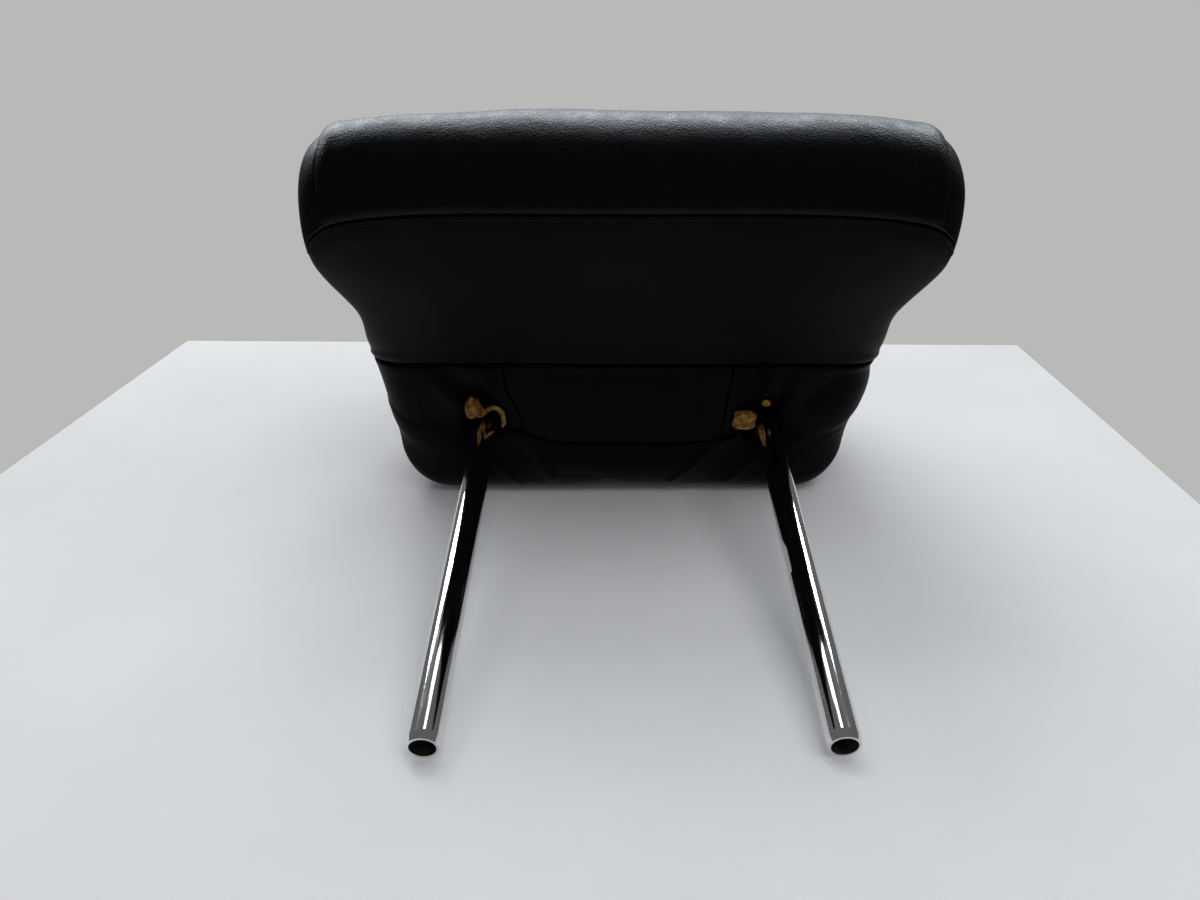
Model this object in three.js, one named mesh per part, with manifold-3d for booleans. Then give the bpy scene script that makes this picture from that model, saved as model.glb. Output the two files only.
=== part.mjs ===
import * as THREE from 'three';
import { mergeVertices } from 'three/addons/utils/BufferGeometryUtils.js';
import Module from 'manifold-3d';

// A car headrest, in millimetres. +Z runs up along the two posts, the front of the pad faces -Y,
// and the origin lies midway between the lower ends of the posts. In the side view below, "reach"
// is the distance in front of the posts' axes (-Y), and z is the height above their lower ends.

// Post frame: one tube bent to an upside-down U
const POST_DIAMETER = 12.7;
const POST_WALL = 1.25;
const POST_SPACING = 148;
const POST_CLEAR_LENGTH = 184; // from the lower ends to the flat underside of the pad
const POST_BEND_RADIUS = 32;
const CROSS_BAR_HEIGHT = 108; // of the bar's axis above the underside
const END_CHAMFER_DEPTH = 0.75;
const END_CHAMFER_LENGTH = 3.2;
const NOTCH_HEIGHT = 81; // of the notch's lower, square side above the post's end
const NOTCH_LENGTH = 14;
const NOTCH_RAMP = 6;
const NOTCH_DEPTH = 1.0;

// Pad, side view: a belt drawn round four rounds and over a fifth, where it bends inwards
const PAD_HEIGHT = 148; // from the flat underside to the top
const CHIN_DROP = 37; // how far the chin hangs below the flat underside
const CHIN_REACH = 161.5;
const CHIN_RADIUS = 29.5;
const CLOSURE_REACH = 40; // where the underside turns down into the chin
const CLOSURE_RADIUS = 12;
const TOP_REACH = 87;
const TOP_FRONT_RADIUS = 42;
const TOP_REAR_RADIUS = 28;
const BACK_SETBACK = 41.5; // of the back behind the posts' axes, at the underside
const BACK_LEAN = THREE.MathUtils.degToRad(11);
const REAR_RADIUS = 13;

// Pad, front view and plan
const PAD_WIDTH = 253;
const CHIN_WIDTH = 268;
const REAR_WIDTH = 236;
const TOP_WIDTH = 226;
const WAIST_DEPTH = 6; // each side, halfway along the chin panel
const WAIST_SPREAD = 24;
const TOP_CORNER_RADIUS = 30; // in the front view
const FRONT_EDGE_RADIUS = 18;
const REAR_EDGE_RADIUS = 26;
const FACE_CROWN = 10;
const SIDE_BULGE = 5;
const HOLLOW_DEPTH = 11; // of the dimple round each post
const HOLLOW_HALF_WIDTH = 10;
const HOLLOW_HALF_LENGTH = 10;

// Covers
const COVER_THICKNESS = 2.4;
const LEATHER_EDGE = 0.25; // how far the leather turns round the side edge, as a share of its arc
const VINYL_EDGE = 0.75;
const EDGE_RUN_OUT = 9; // over which the leather's side seams run out to the vinyl's
const SEAM_ANGLE = THREE.MathUtils.degToRad(-95); // of the chin seam on the chin's round
const FLAP_FRONT_WIDTH = 114;
const FLAP_REAR_WIDTH = 104;
const FLAP_REACH = -11; // where the flap ends, behind the posts' axes
const FLAP_BOW = 4;
const POST_HOLE_RADIUS = 11;
const SLIT_WIDTH = 1.5;

// Closure strips, sewn to the edges of both slits
const STRIP_THICKNESS = 1.4;
const STRIP_FOOT = 7;
const STRIP_HOOK_HEIGHT = 7.2;
const STRIP_HOOK_REACH = 5.4;
const FRONT_STRIP_LENGTH = 176;
const REAR_STRIP_LENGTH = 84;

// Stiffener plate and chin hoop
const PLATE_WIDTH = 184;
const PLATE_HEIGHT = 64;
const PLATE_THICKNESS = 1.5;
const PLATE_BASE = 30; // of its lower edge above the underside
const PLATE_CORNER = 10;
const PLATE_LIP = 8;
const PLATE_HOLE_RADIUS = 13;
const PLATE_HOLE_PITCH = 52;
const HOOP_DIAMETER = 6;
const HOOP_WIDTH = 152;
const HOOP_REACH = 122;
const HOOP_FLOOR = 30; // of the hoop's front bar above the lowest point of the chin
const HOOP_BEND_RADIUS = 16;

const POST_SIDES = 24; // of the faceted tube
const WIRE_SIDES = 12;

const GAP = 0.3; // between pieces that touch
const FOAM_GAP = 0.5; // between the foam and the covers on it
const SEAM_GAP = 0.9; // between the edges of two panels sewn end to end

const postRadius = POST_DIAMETER / 2;
const postX = POST_SPACING / 2;
const underside = POST_CLEAR_LENGTH;
const padTop = underside + PAD_HEIGHT;
const chinBottom = underside - CHIN_DROP;
const foamDepth = COVER_THICKNESS + FOAM_GAP;
const plateBack = postRadius + GAP; // reach of the plate's rear face

const wasm = await Module();
wasm.setup();

function solid(geometry) {
  const bare = geometry.clone();
  bare.deleteAttribute('normal');
  bare.deleteAttribute('uv');
  const merged = mergeVertices(bare, 1e-4);
  return new wasm.Manifold(new wasm.Mesh({
    numProp: 3,
    vertProperties: new Float32Array(merged.attributes.position.array),
    triVerts: new Uint32Array(merged.index.array),
  }));
}

function named(name, body, material) {
  const { vertProperties, triVerts } = body.getMesh();
  const geometry = new THREE.BufferGeometry();
  geometry.setAttribute('position', new THREE.BufferAttribute(vertProperties, 3));
  geometry.setIndex(new THREE.BufferAttribute(triVerts, 1));
  geometry.computeVertexNormals();
  const mesh = new THREE.Mesh(geometry, material);
  mesh.name = name;
  return mesh;
}

const ease = THREE.MathUtils.smoothstep;
const mix = THREE.MathUtils.lerp;

// The pad's outline in the side view. Odd pieces are the straight runs between the rounds, and
// a place on it is a number: 4.25 is a quarter of the way along piece 4, the chin's round.
const CHIN_PIECE = 4;
const CLOSURE_PIECE = 2;
const TOP_REAR_PIECE = 8;
const PIECES = 10;

function backReach(z) {
  return -BACK_SETBACK - Math.tan(BACK_LEAN) * (z - underside);
}

function rearRound(z, radius) {
  return { reach: backReach(z) + radius / Math.cos(BACK_LEAN), z, radius };
}

// A round that the belt bends inwards over has a negative radius
const rounds = [
  rearRound(underside + REAR_RADIUS, REAR_RADIUS),
  { reach: CLOSURE_REACH, z: underside - CLOSURE_RADIUS, radius: -CLOSURE_RADIUS },
  { reach: CHIN_REACH - CHIN_RADIUS, z: chinBottom + CHIN_RADIUS, radius: CHIN_RADIUS },
  { reach: TOP_REACH - TOP_FRONT_RADIUS, z: padTop - TOP_FRONT_RADIUS, radius: TOP_FRONT_RADIUS },
  rearRound(padTop - TOP_REAR_RADIUS, TOP_REAR_RADIUS),
];
const core = {
  reach: rounds.reduce((sum, round) => sum + round.reach, 0) / rounds.length,
  z: rounds.reduce((sum, round) => sum + round.z, 0) / rounds.length,
};

// Direction, seen from the side, in which the belt's run from one round to the next faces
function runNormal(from, to) {
  const reach = to.reach - from.reach;
  const z = to.z - from.z;
  return Math.atan2(z, reach) - Math.acos((from.radius - to.radius) / Math.hypot(reach, z));
}

const normals = rounds.map((round, i) => runNormal(round, rounds[(i + 1) % rounds.length]));

function turn(index) {
  const start = normals[(index + rounds.length - 1) % rounds.length];
  const sweep = THREE.MathUtils.euclideanModulo(normals[index] - start + Math.PI, 2 * Math.PI) - Math.PI;
  return { start, sweep };
}

function onRound(index, angle, depth) {
  const round = rounds[index];
  const radius = round.radius - depth;
  return { reach: round.reach + radius * Math.cos(angle), z: round.z + radius * Math.sin(angle) };
}

function outline(place, depth) {
  const wrapped = THREE.MathUtils.euclideanModulo(place, PIECES);
  const piece = Math.floor(wrapped);
  const part = wrapped - piece;
  const index = Math.floor(piece / 2);
  if (piece % 2 === 0) {
    const { start, sweep } = turn(index);
    return onRound(index, start + sweep * part, depth);
  }
  const from = onRound(index, normals[index], depth);
  const to = onRound((index + 1) % rounds.length, normals[index], depth);
  return { reach: mix(from.reach, to.reach, part), z: mix(from.z, to.z, part) };
}

function pieceLength(piece) {
  const wrapped = THREE.MathUtils.euclideanModulo(piece, PIECES);
  const index = Math.floor(wrapped / 2);
  if (wrapped % 2 === 0) return Math.abs(turn(index).sweep * rounds[index].radius);
  const from = outline(wrapped, 0);
  const to = outline(wrapped + 1, 0);
  return Math.hypot(to.reach - from.reach, to.z - from.z);
}

function moved(place, distance) {
  return place + distance / pieceLength(Math.floor(place));
}

const chinTurn = turn(CHIN_PIECE / 2);
const seamPlace = CHIN_PIECE
  + THREE.MathUtils.euclideanModulo(SEAM_ANGLE - chinTurn.start, 2 * Math.PI) / chinTurn.sweep;
const frontSlitPlace = CLOSURE_PIECE + 0.5;
const topJoinPlace = TOP_REAR_PIECE + 0.5;
const leatherStart = moved(seamPlace, EDGE_RUN_OUT);
const leatherEnd = moved(topJoinPlace, -EDGE_RUN_OUT);
const seamMarks = [
  mix(seamPlace, leatherStart, 0.5), leatherStart, leatherEnd, mix(leatherEnd, topJoinPlace, 0.5),
];

// Half the pad's width where the side view's outline passes a point
function halfWidth({ reach, z }) {
  const chinTop = chinBottom + 2 * CHIN_RADIUS;
  const flare = ease(reach, CLOSURE_REACH, CHIN_REACH) * (1 - ease(z, chinTop, padTop));
  const rear = 1 - ease(reach, -CLOSURE_REACH, CLOSURE_REACH);
  const rise = THREE.MathUtils.clamp((z - underside) / PAD_HEIGHT, 0, 1);
  const chinMiddle = (CLOSURE_REACH + CHIN_REACH - CHIN_RADIUS) / 2;
  const below = 1 - ease(z, underside, underside + CHIN_RADIUS);
  const waist = WAIST_DEPTH * below * Math.exp(-(((reach - chinMiddle) / WAIST_SPREAD) ** 2));
  const corner = THREE.MathUtils.clamp(z - padTop + TOP_CORNER_RADIUS, 0, TOP_CORNER_RADIUS);
  const rounding = TOP_CORNER_RADIUS - Math.sqrt(TOP_CORNER_RADIUS ** 2 - corner ** 2);
  return PAD_WIDTH / 2 + flare * (CHIN_WIDTH - PAD_WIDTH) / 2 - rear * (PAD_WIDTH - REAR_WIDTH) / 2
    - rise * (PAD_WIDTH - TOP_WIDTH) / 2 - waist - rounding;
}

function edgeRadius({ reach }) {
  return mix(REAR_EDGE_RADIUS, FRONT_EDGE_RADIUS, ease(reach, -BACK_SETBACK, 2 * CLOSURE_REACH));
}

// A point of the pad's face. "across" runs from -3 to 3: up to 1 lies on the broad faces, from
// 1 to 2 on the rounded side edge, and from 2 to 3 on the side, to its middle.
function face(place, across) {
  const base = outline(place, 0);
  const half = halfWidth(base);
  const radius = edgeRadius(base);
  const side = Math.sign(across);
  const amount = Math.abs(across);
  const span = Math.hypot(base.reach - core.reach, base.z - core.z);
  let x = amount * (half - radius);
  let scale = 1;
  if (amount > 1) {
    const angle = Math.min(amount - 1, 1) * Math.PI / 2;
    x = half - radius + radius * Math.sin(angle);
    scale = 1 - radius * (1 - Math.cos(angle)) / span;
  }
  if (amount > 2) {
    const left = 3 - amount;
    scale *= left;
    x = mix(halfWidth(core) + SIDE_BULGE, x, left * left);
  }
  let reach = core.reach + (base.reach - core.reach) * scale;
  let z = core.z + (base.z - core.z) * scale;
  reach -= FACE_CROWN * (x / half) ** 2 * ease(reach, CLOSURE_REACH, CHIN_REACH - CHIN_RADIUS);
  const off = (x - postX) / HOLLOW_HALF_WIDTH;
  const along = reach / HOLLOW_HALF_LENGTH;
  const low = 1 - ease(z, underside, core.z);
  z += HOLLOW_DEPTH * low * Math.exp(-(off * off + along * along) / 2);
  return new THREE.Vector3(side * x, -reach, z);
}

// A point of the pad at a depth under its face, square to the face
function skin(place, across, depth) {
  const step = 0.02;
  const near = THREE.MathUtils.clamp(across, step - 3, 3 - step);
  const ahead = face(place + step, near).sub(face(place - step, near));
  const beside = face(place, near + step).sub(face(place, near - step));
  const inward = Math.abs(across) < 3 ? ahead.cross(beside) : new THREE.Vector3(-across, 0, 0);
  return face(place, across).addScaledVector(inward.normalize(), depth);
}

// Places along the outline from one to another, with more steps on the rounds and underneath
function stops(from, to) {
  const steps = [3, 6, 1, 3, 7, 3, 4, 2, 4, 3];
  const list = seamMarks.filter((mark) => mark > from && mark < to);
  for (let piece = Math.floor(from); piece <= to; piece++) {
    const count = steps[THREE.MathUtils.euclideanModulo(piece, PIECES)];
    for (let i = 0; i < count; i++) {
      const place = piece + i / count;
      if (place > from && place < to) list.push(place);
    }
  }
  list.sort((a, b) => a - b);
  const apart = list.filter((place, i) => place - (i > 0 ? list[i - 1] : from) > 0.01 && to - place > 0.01);
  return [from, ...apart, to];
}

// Stops across the pad, in the units of "across": closer together round the posts' hollows
const flatSpan = REAR_WIDTH / 2 - REAR_EDGE_RADIUS;
const postAcross = postX / flatSpan;
const hollowAcross = HOLLOW_HALF_WIDTH / flatSpan;
const broadStops = [
  0, 0.3 * postAcross, 0.6 * postAcross, postAcross - 1.6 * hollowAcross,
  postAcross - 0.8 * hollowAcross, postAcross, postAcross + 0.8 * hollowAcross, 1,
];
const leatherEdge = 1 + LEATHER_EDGE;
const vinylEdge = 1 + VINYL_EDGE;
const edgeStops = [leatherEdge, mix(leatherEdge, vinylEdge, 0.5), vinylEdge];
const sideStops = [2, 2.5, 3];

// How far the covers' broad panels reach round the side edge, at a place on the outline
function panelEdge(place) {
  const out = Math.max(
    THREE.MathUtils.mapLinear(place, seamPlace, leatherStart, 1, 0),
    THREE.MathUtils.mapLinear(place, leatherEnd, topJoinPlace, 0, 1));
  return mix(leatherEdge, vinylEdge, THREE.MathUtils.clamp(out, 0, 1));
}

function closedBody(triangles) {
  const distinct = triangles.filter(([a, b, c]) =>
    a.distanceTo(b) > 1e-3 && b.distanceTo(c) > 1e-3 && c.distanceTo(a) > 1e-3);
  const volume = distinct.reduce((sum, [a, b, c]) => sum + a.dot(b.clone().cross(c)), 0);
  const ordered = volume > 0 ? distinct : distinct.map(([a, b, c]) => [a, c, b]);
  return solid(new THREE.BufferGeometry().setFromPoints(ordered.flat()));
}

function quads(grid, flip) {
  const list = [];
  for (let i = 0; i + 1 < grid.length; i++) {
    for (let j = 0; j + 1 < grid[i].length; j++) {
      const [a, b, c, d] = [grid[i][j], grid[i][j + 1], grid[i + 1][j + 1], grid[i + 1][j]];
      list.push(...(flip ? [[a, c, b], [a, d, c]] : [[a, b, c], [a, c, d]]));
    }
  }
  return list;
}

// A sheet between two like grids of points, closed along its four edges
function sheet(outer, inner) {
  const last = outer.length - 1;
  const column = (grid, j) => grid.map((row) => row.at(j));
  return closedBody([
    ...quads(outer, false),
    ...quads(inner, true),
    ...quads([inner[0], outer[0]], false),
    ...quads([outer[last], inner[last]], false),
    ...quads([column(inner, 0), column(outer, 0)], true),
    ...quads([column(outer, -1), column(inner, -1)], true),
  ]);
}

// A panel of cover, reaching round both side edges as far as edge(place)
function panel(places, edge) {
  const grid = (depth) => places.map((place) => {
    const half = [...broadStops, ...edgeStops.map((stop) => Math.min(stop, edge(place)))];
    const acrosses = [...half.slice(1).reverse().map((across) => -across), ...half];
    return acrosses.map((across) => skin(place, across, depth));
  });
  return sheet(grid(0), grid(COVER_THICKNESS));
}

function trimmedEdge(place, distance) {
  return panelEdge(place) - distance / (edgeRadius(outline(place, 0)) * Math.PI / 2);
}

function broadPanel(places) {
  return panel(places, (place) => trimmedEdge(place, GAP / 2));
}

function frontCover() {
  return broadPanel(stops(moved(seamPlace, SEAM_GAP / 2), moved(topJoinPlace, -SEAM_GAP / 2)));
}

function chinCover() {
  return broadPanel(stops(moved(frontSlitPlace, SLIT_WIDTH / 2), moved(seamPlace, -SEAM_GAP / 2)));
}

// One side gusset: rings from the broad panels' edges to the middle of the side
function gusset(side) {
  const places = [...stops(seamPlace, topJoinPlace), ...stops(topJoinPlace, PIECES + seamPlace).slice(1)];
  const ring = (place, depth) => {
    const edge = trimmedEdge(place > PIECES ? place - PIECES : place, -GAP / 2);
    const acrosses = [edge, ...edgeStops.map((stop) => Math.max(stop, edge)), ...sideStops];
    const points = acrosses.map((across) => skin(place, side * across, depth));
    return side > 0 ? points : points.reverse();
  };
  const grid = (depth) => places.map((place) => ring(place, depth));
  const rim = (depth) => grid(depth).map((row) => row.at(side > 0 ? 0 : -1));
  const outerRim = rim(0);
  const innerRim = rim(COVER_THICKNESS);
  return closedBody([
    ...quads(grid(0), false),
    ...quads(grid(COVER_THICKNESS), true),
    ...quads(side > 0 ? [outerRim, innerRim] : [innerRim, outerRim], false),
  ]);
}

function foamBlank() {
  const half = [...broadStops, ...edgeStops, ...sideStops];
  const acrosses = [...half.slice(1).reverse().map((across) => -across), ...half];
  const places = stops(0, PIECES);
  return closedBody(quads(
    places.map((place) => acrosses.map((across) => skin(place, across, foamDepth))), false));
}

// An upright block on the centre flap's outline, grown at its sides and its bowed rear edge
function flapBlock(sideMargin, rearMargin) {
  const rear = FLAP_REAR_WIDTH / 2 + sideMargin;
  const front = FLAP_FRONT_WIDTH / 2 + sideMargin;
  const reach = FLAP_REACH - rearMargin;
  const shape = new THREE.Shape()
    .moveTo(-rear, reach + FLAP_BOW)
    .quadraticCurveTo(0, reach - FLAP_BOW, rear, reach + FLAP_BOW)
    .lineTo(front, CLOSURE_REACH + CLOSURE_RADIUS)
    .lineTo(-front, CLOSURE_REACH + CLOSURE_RADIUS);
  const height = core.z - chinBottom;
  const bar = new THREE.ExtrudeGeometry(shape, {
    depth: height, bevelEnabled: false, curveSegments: 8 });
  return solid(bar.rotateX(Math.PI).translate(0, 0, core.z));
}

function flapCover() {
  const places = stops(0.5, moved(frontSlitPlace, -SLIT_WIDTH / 2));
  return panel(places, () => 1).intersect(flapBlock(-GAP / 2, -SLIT_WIDTH / 2));
}

function upright(radius, x, bottom, top) {
  const cylinder = new THREE.CylinderGeometry(radius, radius, top - bottom, POST_SIDES);
  return solid(cylinder.rotateX(Math.PI / 2).translate(x, 0, (bottom + top) / 2));
}

function block(low, high) {
  const size = high.map((value, i) => value - low[i]);
  const box = new THREE.BoxGeometry(...size);
  return solid(box.translate(...low.map((value, i) => value + size[i] / 2)));
}

// The back panel reaches round to both slits, beside the flap and behind it. The rear slit runs
// on from the flap's corners into the post holes.
function backCover() {
  const places = stops(moved(topJoinPlace, SEAM_GAP / 2), PIECES + moved(frontSlitPlace, -SLIT_WIDTH / 2));
  const slitY = -FLAP_REACH - FLAP_BOW;
  return broadPanel(places)
    .subtract(flapBlock(GAP / 2, SLIT_WIDTH / 2))
    .subtract(block(
      [-postX, slitY - SLIT_WIDTH / 2, chinBottom],
      [postX, slitY + SLIT_WIDTH / 2, core.z]))
    .subtract(upright(POST_HOLE_RADIUS, -postX, chinBottom, core.z))
    .subtract(upright(POST_HOLE_RADIUS, postX, chinBottom, core.z));
}

// A path through corners with round bends, read station by station so that straight runs stay
// in one step
class BentPath extends THREE.Curve {
  constructor(corners, radius, steps) {
    super();
    this.points = [];
    this.tangents = [];
    const direction = (a, b) => b.clone().sub(a).normalize();
    const add = (point, tangent) => {
      this.points.push(point);
      this.tangents.push(tangent);
    };
    add(corners[0], direction(corners[0], corners[1]));
    for (let i = 1; i + 1 < corners.length; i++) {
      const into = direction(corners[i - 1], corners[i]);
      const out = direction(corners[i], corners[i + 1]);
      const angle = into.angleTo(out);
      const inward = out.clone().sub(into).normalize();
      const centre = corners[i].clone().addScaledVector(inward, radius / Math.cos(angle / 2));
      const axis = into.clone().cross(out).normalize();
      const start = corners[i].clone().addScaledVector(into, -radius * Math.tan(angle / 2)).sub(centre);
      for (let step = 0; step <= steps; step++) {
        const turned = angle * step / steps;
        add(start.clone().applyAxisAngle(axis, turned).add(centre),
          into.clone().applyAxisAngle(axis, turned));
      }
    }
    add(corners.at(-1), direction(corners.at(-2), corners.at(-1)));
  }

  get steps() {
    return this.points.length - 1;
  }

  getPoint(t) {
    return this.points[Math.round(t * this.steps)].clone();
  }

  getPointAt(u) {
    return this.getPoint(u);
  }

  getTangentAt(u) {
    return this.tangents[Math.round(u * this.steps)].clone();
  }
}

function rod(path, radius, bore, sides) {
  const section = new THREE.Shape().absarc(0, 0, radius, 0, 2 * Math.PI);
  if (bore > 0) section.holes.push(new THREE.Path().absarc(0, 0, bore, 0, 2 * Math.PI));
  return solid(new THREE.ExtrudeGeometry(section, {
    steps: path.steps,
    curveSegments: sides / 2,
    extrudePath: path,
  }));
}

function postPath(bottom) {
  const bar = underside + CROSS_BAR_HEIGHT;
  const corners = [[-postX, bottom], [-postX, bar], [postX, bar], [postX, bottom]];
  return new BentPath(corners.map(([x, z]) => new THREE.Vector3(x, 0, z)), POST_BEND_RADIUS, 5);
}

// What the cone at a post's lower end takes away: a ring that grows thinner upwards
function endChamfer(x) {
  const slope = END_CHAMFER_DEPTH / END_CHAMFER_LENGTH;
  const below = 1;
  const outside = postRadius + 1;
  const ring = [
    new THREE.Vector2(postRadius - END_CHAMFER_DEPTH - slope * below, -below),
    new THREE.Vector2(outside, -below),
    new THREE.Vector2(outside, END_CHAMFER_LENGTH + (outside - postRadius) / slope),
  ];
  const lathe = new THREE.LatheGeometry([...ring, ring[0]], POST_SIDES);
  return solid(lathe.rotateX(Math.PI / 2).translate(x, 0, 0));
}

// The locking notch on the inner side of the right post: square below, ramped above
function lockNotch() {
  const surface = postX - postRadius;
  const floor = surface + NOTCH_DEPTH;
  const top = NOTCH_HEIGHT + NOTCH_LENGTH;
  const shape = new THREE.Shape([
    new THREE.Vector2(surface - 1, NOTCH_HEIGHT),
    new THREE.Vector2(floor, NOTCH_HEIGHT),
    new THREE.Vector2(floor, top),
    new THREE.Vector2(surface - 1, top + NOTCH_RAMP * (1 + NOTCH_DEPTH) / NOTCH_DEPTH),
  ]);
  const bar = new THREE.ExtrudeGeometry(shape, { depth: 2 * postRadius, bevelEnabled: false });
  return solid(bar.translate(0, 0, -postRadius).rotateX(Math.PI / 2));
}

function postFrame() {
  return rod(postPath(0), postRadius, postRadius - POST_WALL, POST_SIDES)
    .subtract(endChamfer(-postX))
    .subtract(endChamfer(postX))
    .subtract(lockNotch());
}

function roundedPlate(width, height, corner, holeRadius) {
  const x = width / 2 - corner;
  const z = height / 2 - corner;
  const shape = new THREE.Shape()
    .absarc(x, z, corner, 0, Math.PI / 2)
    .absarc(-x, z, corner, Math.PI / 2, Math.PI)
    .absarc(-x, -z, corner, Math.PI, 1.5 * Math.PI)
    .absarc(x, -z, corner, 1.5 * Math.PI, 2 * Math.PI);
  for (const place of [-1, 0, 1]) {
    shape.holes.push(new THREE.Path().absarc(place * PLATE_HOLE_PITCH, 0, holeRadius, 0, 2 * Math.PI));
  }
  return shape;
}

// The pressed plate in front of the posts, with a lip along its top and bottom edges.
// "margin" grows it on all sides, for the foam round it.
function plate(margin) {
  const shape = roundedPlate(PLATE_WIDTH + 2 * margin, PLATE_HEIGHT + 2 * margin,
    PLATE_CORNER + margin, PLATE_HOLE_RADIUS - margin);
  const thickness = PLATE_THICKNESS + 2 * margin;
  const middle = underside + PLATE_BASE + PLATE_HEIGHT / 2;
  const face = new THREE.ExtrudeGeometry(shape, {
    depth: thickness, bevelEnabled: false, curveSegments: 6 });
  face.rotateX(Math.PI / 2).translate(0, -plateBack + margin, middle);
  let body = solid(face);
  const half = PLATE_WIDTH / 2 - PLATE_CORNER + margin;
  for (const side of [-1, 1]) {
    const outer = middle + side * (PLATE_HEIGHT / 2 + margin);
    const inner = middle + side * (PLATE_HEIGHT / 2 - PLATE_THICKNESS - margin);
    body = body.add(block(
      [-half, -plateBack - PLATE_THICKNESS - PLATE_LIP - margin, Math.min(outer, inner)],
      [half, -plateBack + margin, Math.max(outer, inner)]));
  }
  return body;
}

// The wire that carries the chin, from the plate forward and down, across, and back again
function hoop(margin) {
  const start = plateBack + PLATE_THICKNESS + GAP - margin;
  const high = underside + PLATE_BASE + PLATE_HEIGHT / 2;
  const shoulder = start + HOOP_BEND_RADIUS;
  const low = chinBottom + HOOP_FLOOR;
  const x = HOOP_WIDTH / 2;
  const corners = [
    [-x, start, high], [-x, shoulder, high], [-x, HOOP_REACH, low],
    [x, HOOP_REACH, low], [x, shoulder, high], [x, start, high],
  ].map(([side, reach, z]) => new THREE.Vector3(side, -reach, z));
  return rod(new BentPath(corners, HOOP_BEND_RADIUS, 4), HOOP_DIAMETER / 2 + margin, 0, WIRE_SIDES);
}

// Where the closure strips of a slit lie: just inside the covers, either side of it
const stripBase = underside + COVER_THICKNESS + GAP;

function strip(points, reach, length) {
  const shape = new THREE.Shape(points.map(([reach, z]) => new THREE.Vector2(reach, z)));
  const bar = new THREE.ExtrudeGeometry(shape, { depth: length, bevelEnabled: false });
  // turns the section's x to the front and its y to the height, with the length across
  bar.translate(0, 0, -length / 2).rotateX(Math.PI / 2).rotateZ(-Math.PI / 2);
  return solid(bar.translate(0, -reach, stripBase));
}

// The strip whose hook goes over the other one's upright
function hookStrip(reach, length) {
  const near = GAP;
  const wall = near + STRIP_THICKNESS;
  const tip = near - STRIP_HOOK_REACH;
  return strip([
    [near, 0], [STRIP_FOOT, 0], [STRIP_FOOT, STRIP_THICKNESS], [wall, STRIP_THICKNESS],
    [wall, STRIP_HOOK_HEIGHT], [tip, STRIP_HOOK_HEIGHT], [tip, STRIP_HOOK_HEIGHT / 2],
    [tip + STRIP_THICKNESS, STRIP_HOOK_HEIGHT / 2],
    [tip + STRIP_THICKNESS, STRIP_HOOK_HEIGHT - STRIP_THICKNESS],
    [near, STRIP_HOOK_HEIGHT - STRIP_THICKNESS],
  ], reach, length);
}

function catchStrip(reach, length) {
  const near = -GAP;
  const wall = near - STRIP_THICKNESS;
  const top = STRIP_HOOK_HEIGHT - STRIP_THICKNESS - GAP;
  return strip([
    [near, 0], [near, top], [wall, top], [wall, STRIP_THICKNESS],
    [-STRIP_FOOT, STRIP_THICKNESS], [-STRIP_FOOT, 0],
  ], reach, length);
}

// The room in the foam for both strips of a slit
function stripRoom(reach, length) {
  const half = length / 2 + GAP;
  return block(
    [-half, -reach - STRIP_FOOT - GAP, chinBottom],
    [half, -reach + STRIP_FOOT + GAP, stripBase + STRIP_HOOK_HEIGHT + GAP]);
}

const frontSlitReach = outline(frontSlitPlace, 0).reach;
const rearSlitReach = FLAP_REACH;

function foamCore() {
  return foamBlank()
    .subtract(rod(postPath(chinBottom), postRadius + GAP, 0, POST_SIDES))
    .subtract(plate(GAP))
    .subtract(hoop(GAP))
    .subtract(stripRoom(frontSlitReach, FRONT_STRIP_LENGTH))
    .subtract(stripRoom(rearSlitReach, REAR_STRIP_LENGTH));
}

function finish(color, roughness, metalness) {
  return new THREE.MeshStandardMaterial({ color, roughness, metalness });
}

const chrome = finish(0xd8dadb, 0.08, 1);
const steel = finish(0x7d8083, 0.45, 0.9);
const leather = finish(0x1c1e22, 0.5, 0);
const vinyl = finish(0x121215, 0.45, 0);
const foam = finish(0xc9a25a, 0.95, 0);
const plastic = finish(0x1a1a1a, 0.6, 0);

const headrest = new THREE.Group();
headrest.add(
  named('post_frame', postFrame(), chrome),
  named('stiffener_plate', plate(0), steel),
  named('chin_hoop', hoop(0), steel),
  named('foam_core', foamCore(), foam),
  named('cover_front', frontCover(), leather),
  named('cover_side_left', gusset(-1), leather),
  named('cover_side_right', gusset(1), leather),
  named('cover_chin', chinCover(), vinyl),
  named('cover_flap', flapCover(), vinyl),
  named('cover_back', backCover(), vinyl),
  named('chin_closure_hook', hookStrip(frontSlitReach, FRONT_STRIP_LENGTH), plastic),
  named('chin_closure_catch', catchStrip(frontSlitReach, FRONT_STRIP_LENGTH), plastic),
  named('rear_closure_hook', hookStrip(rearSlitReach, REAR_STRIP_LENGTH), plastic),
  named('rear_closure_catch', catchStrip(rearSlitReach, REAR_STRIP_LENGTH), plastic),
);

export default headrest;
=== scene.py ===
import math

import bpy
import numpy as np
from mathutils import Matrix, Vector, noise


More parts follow.
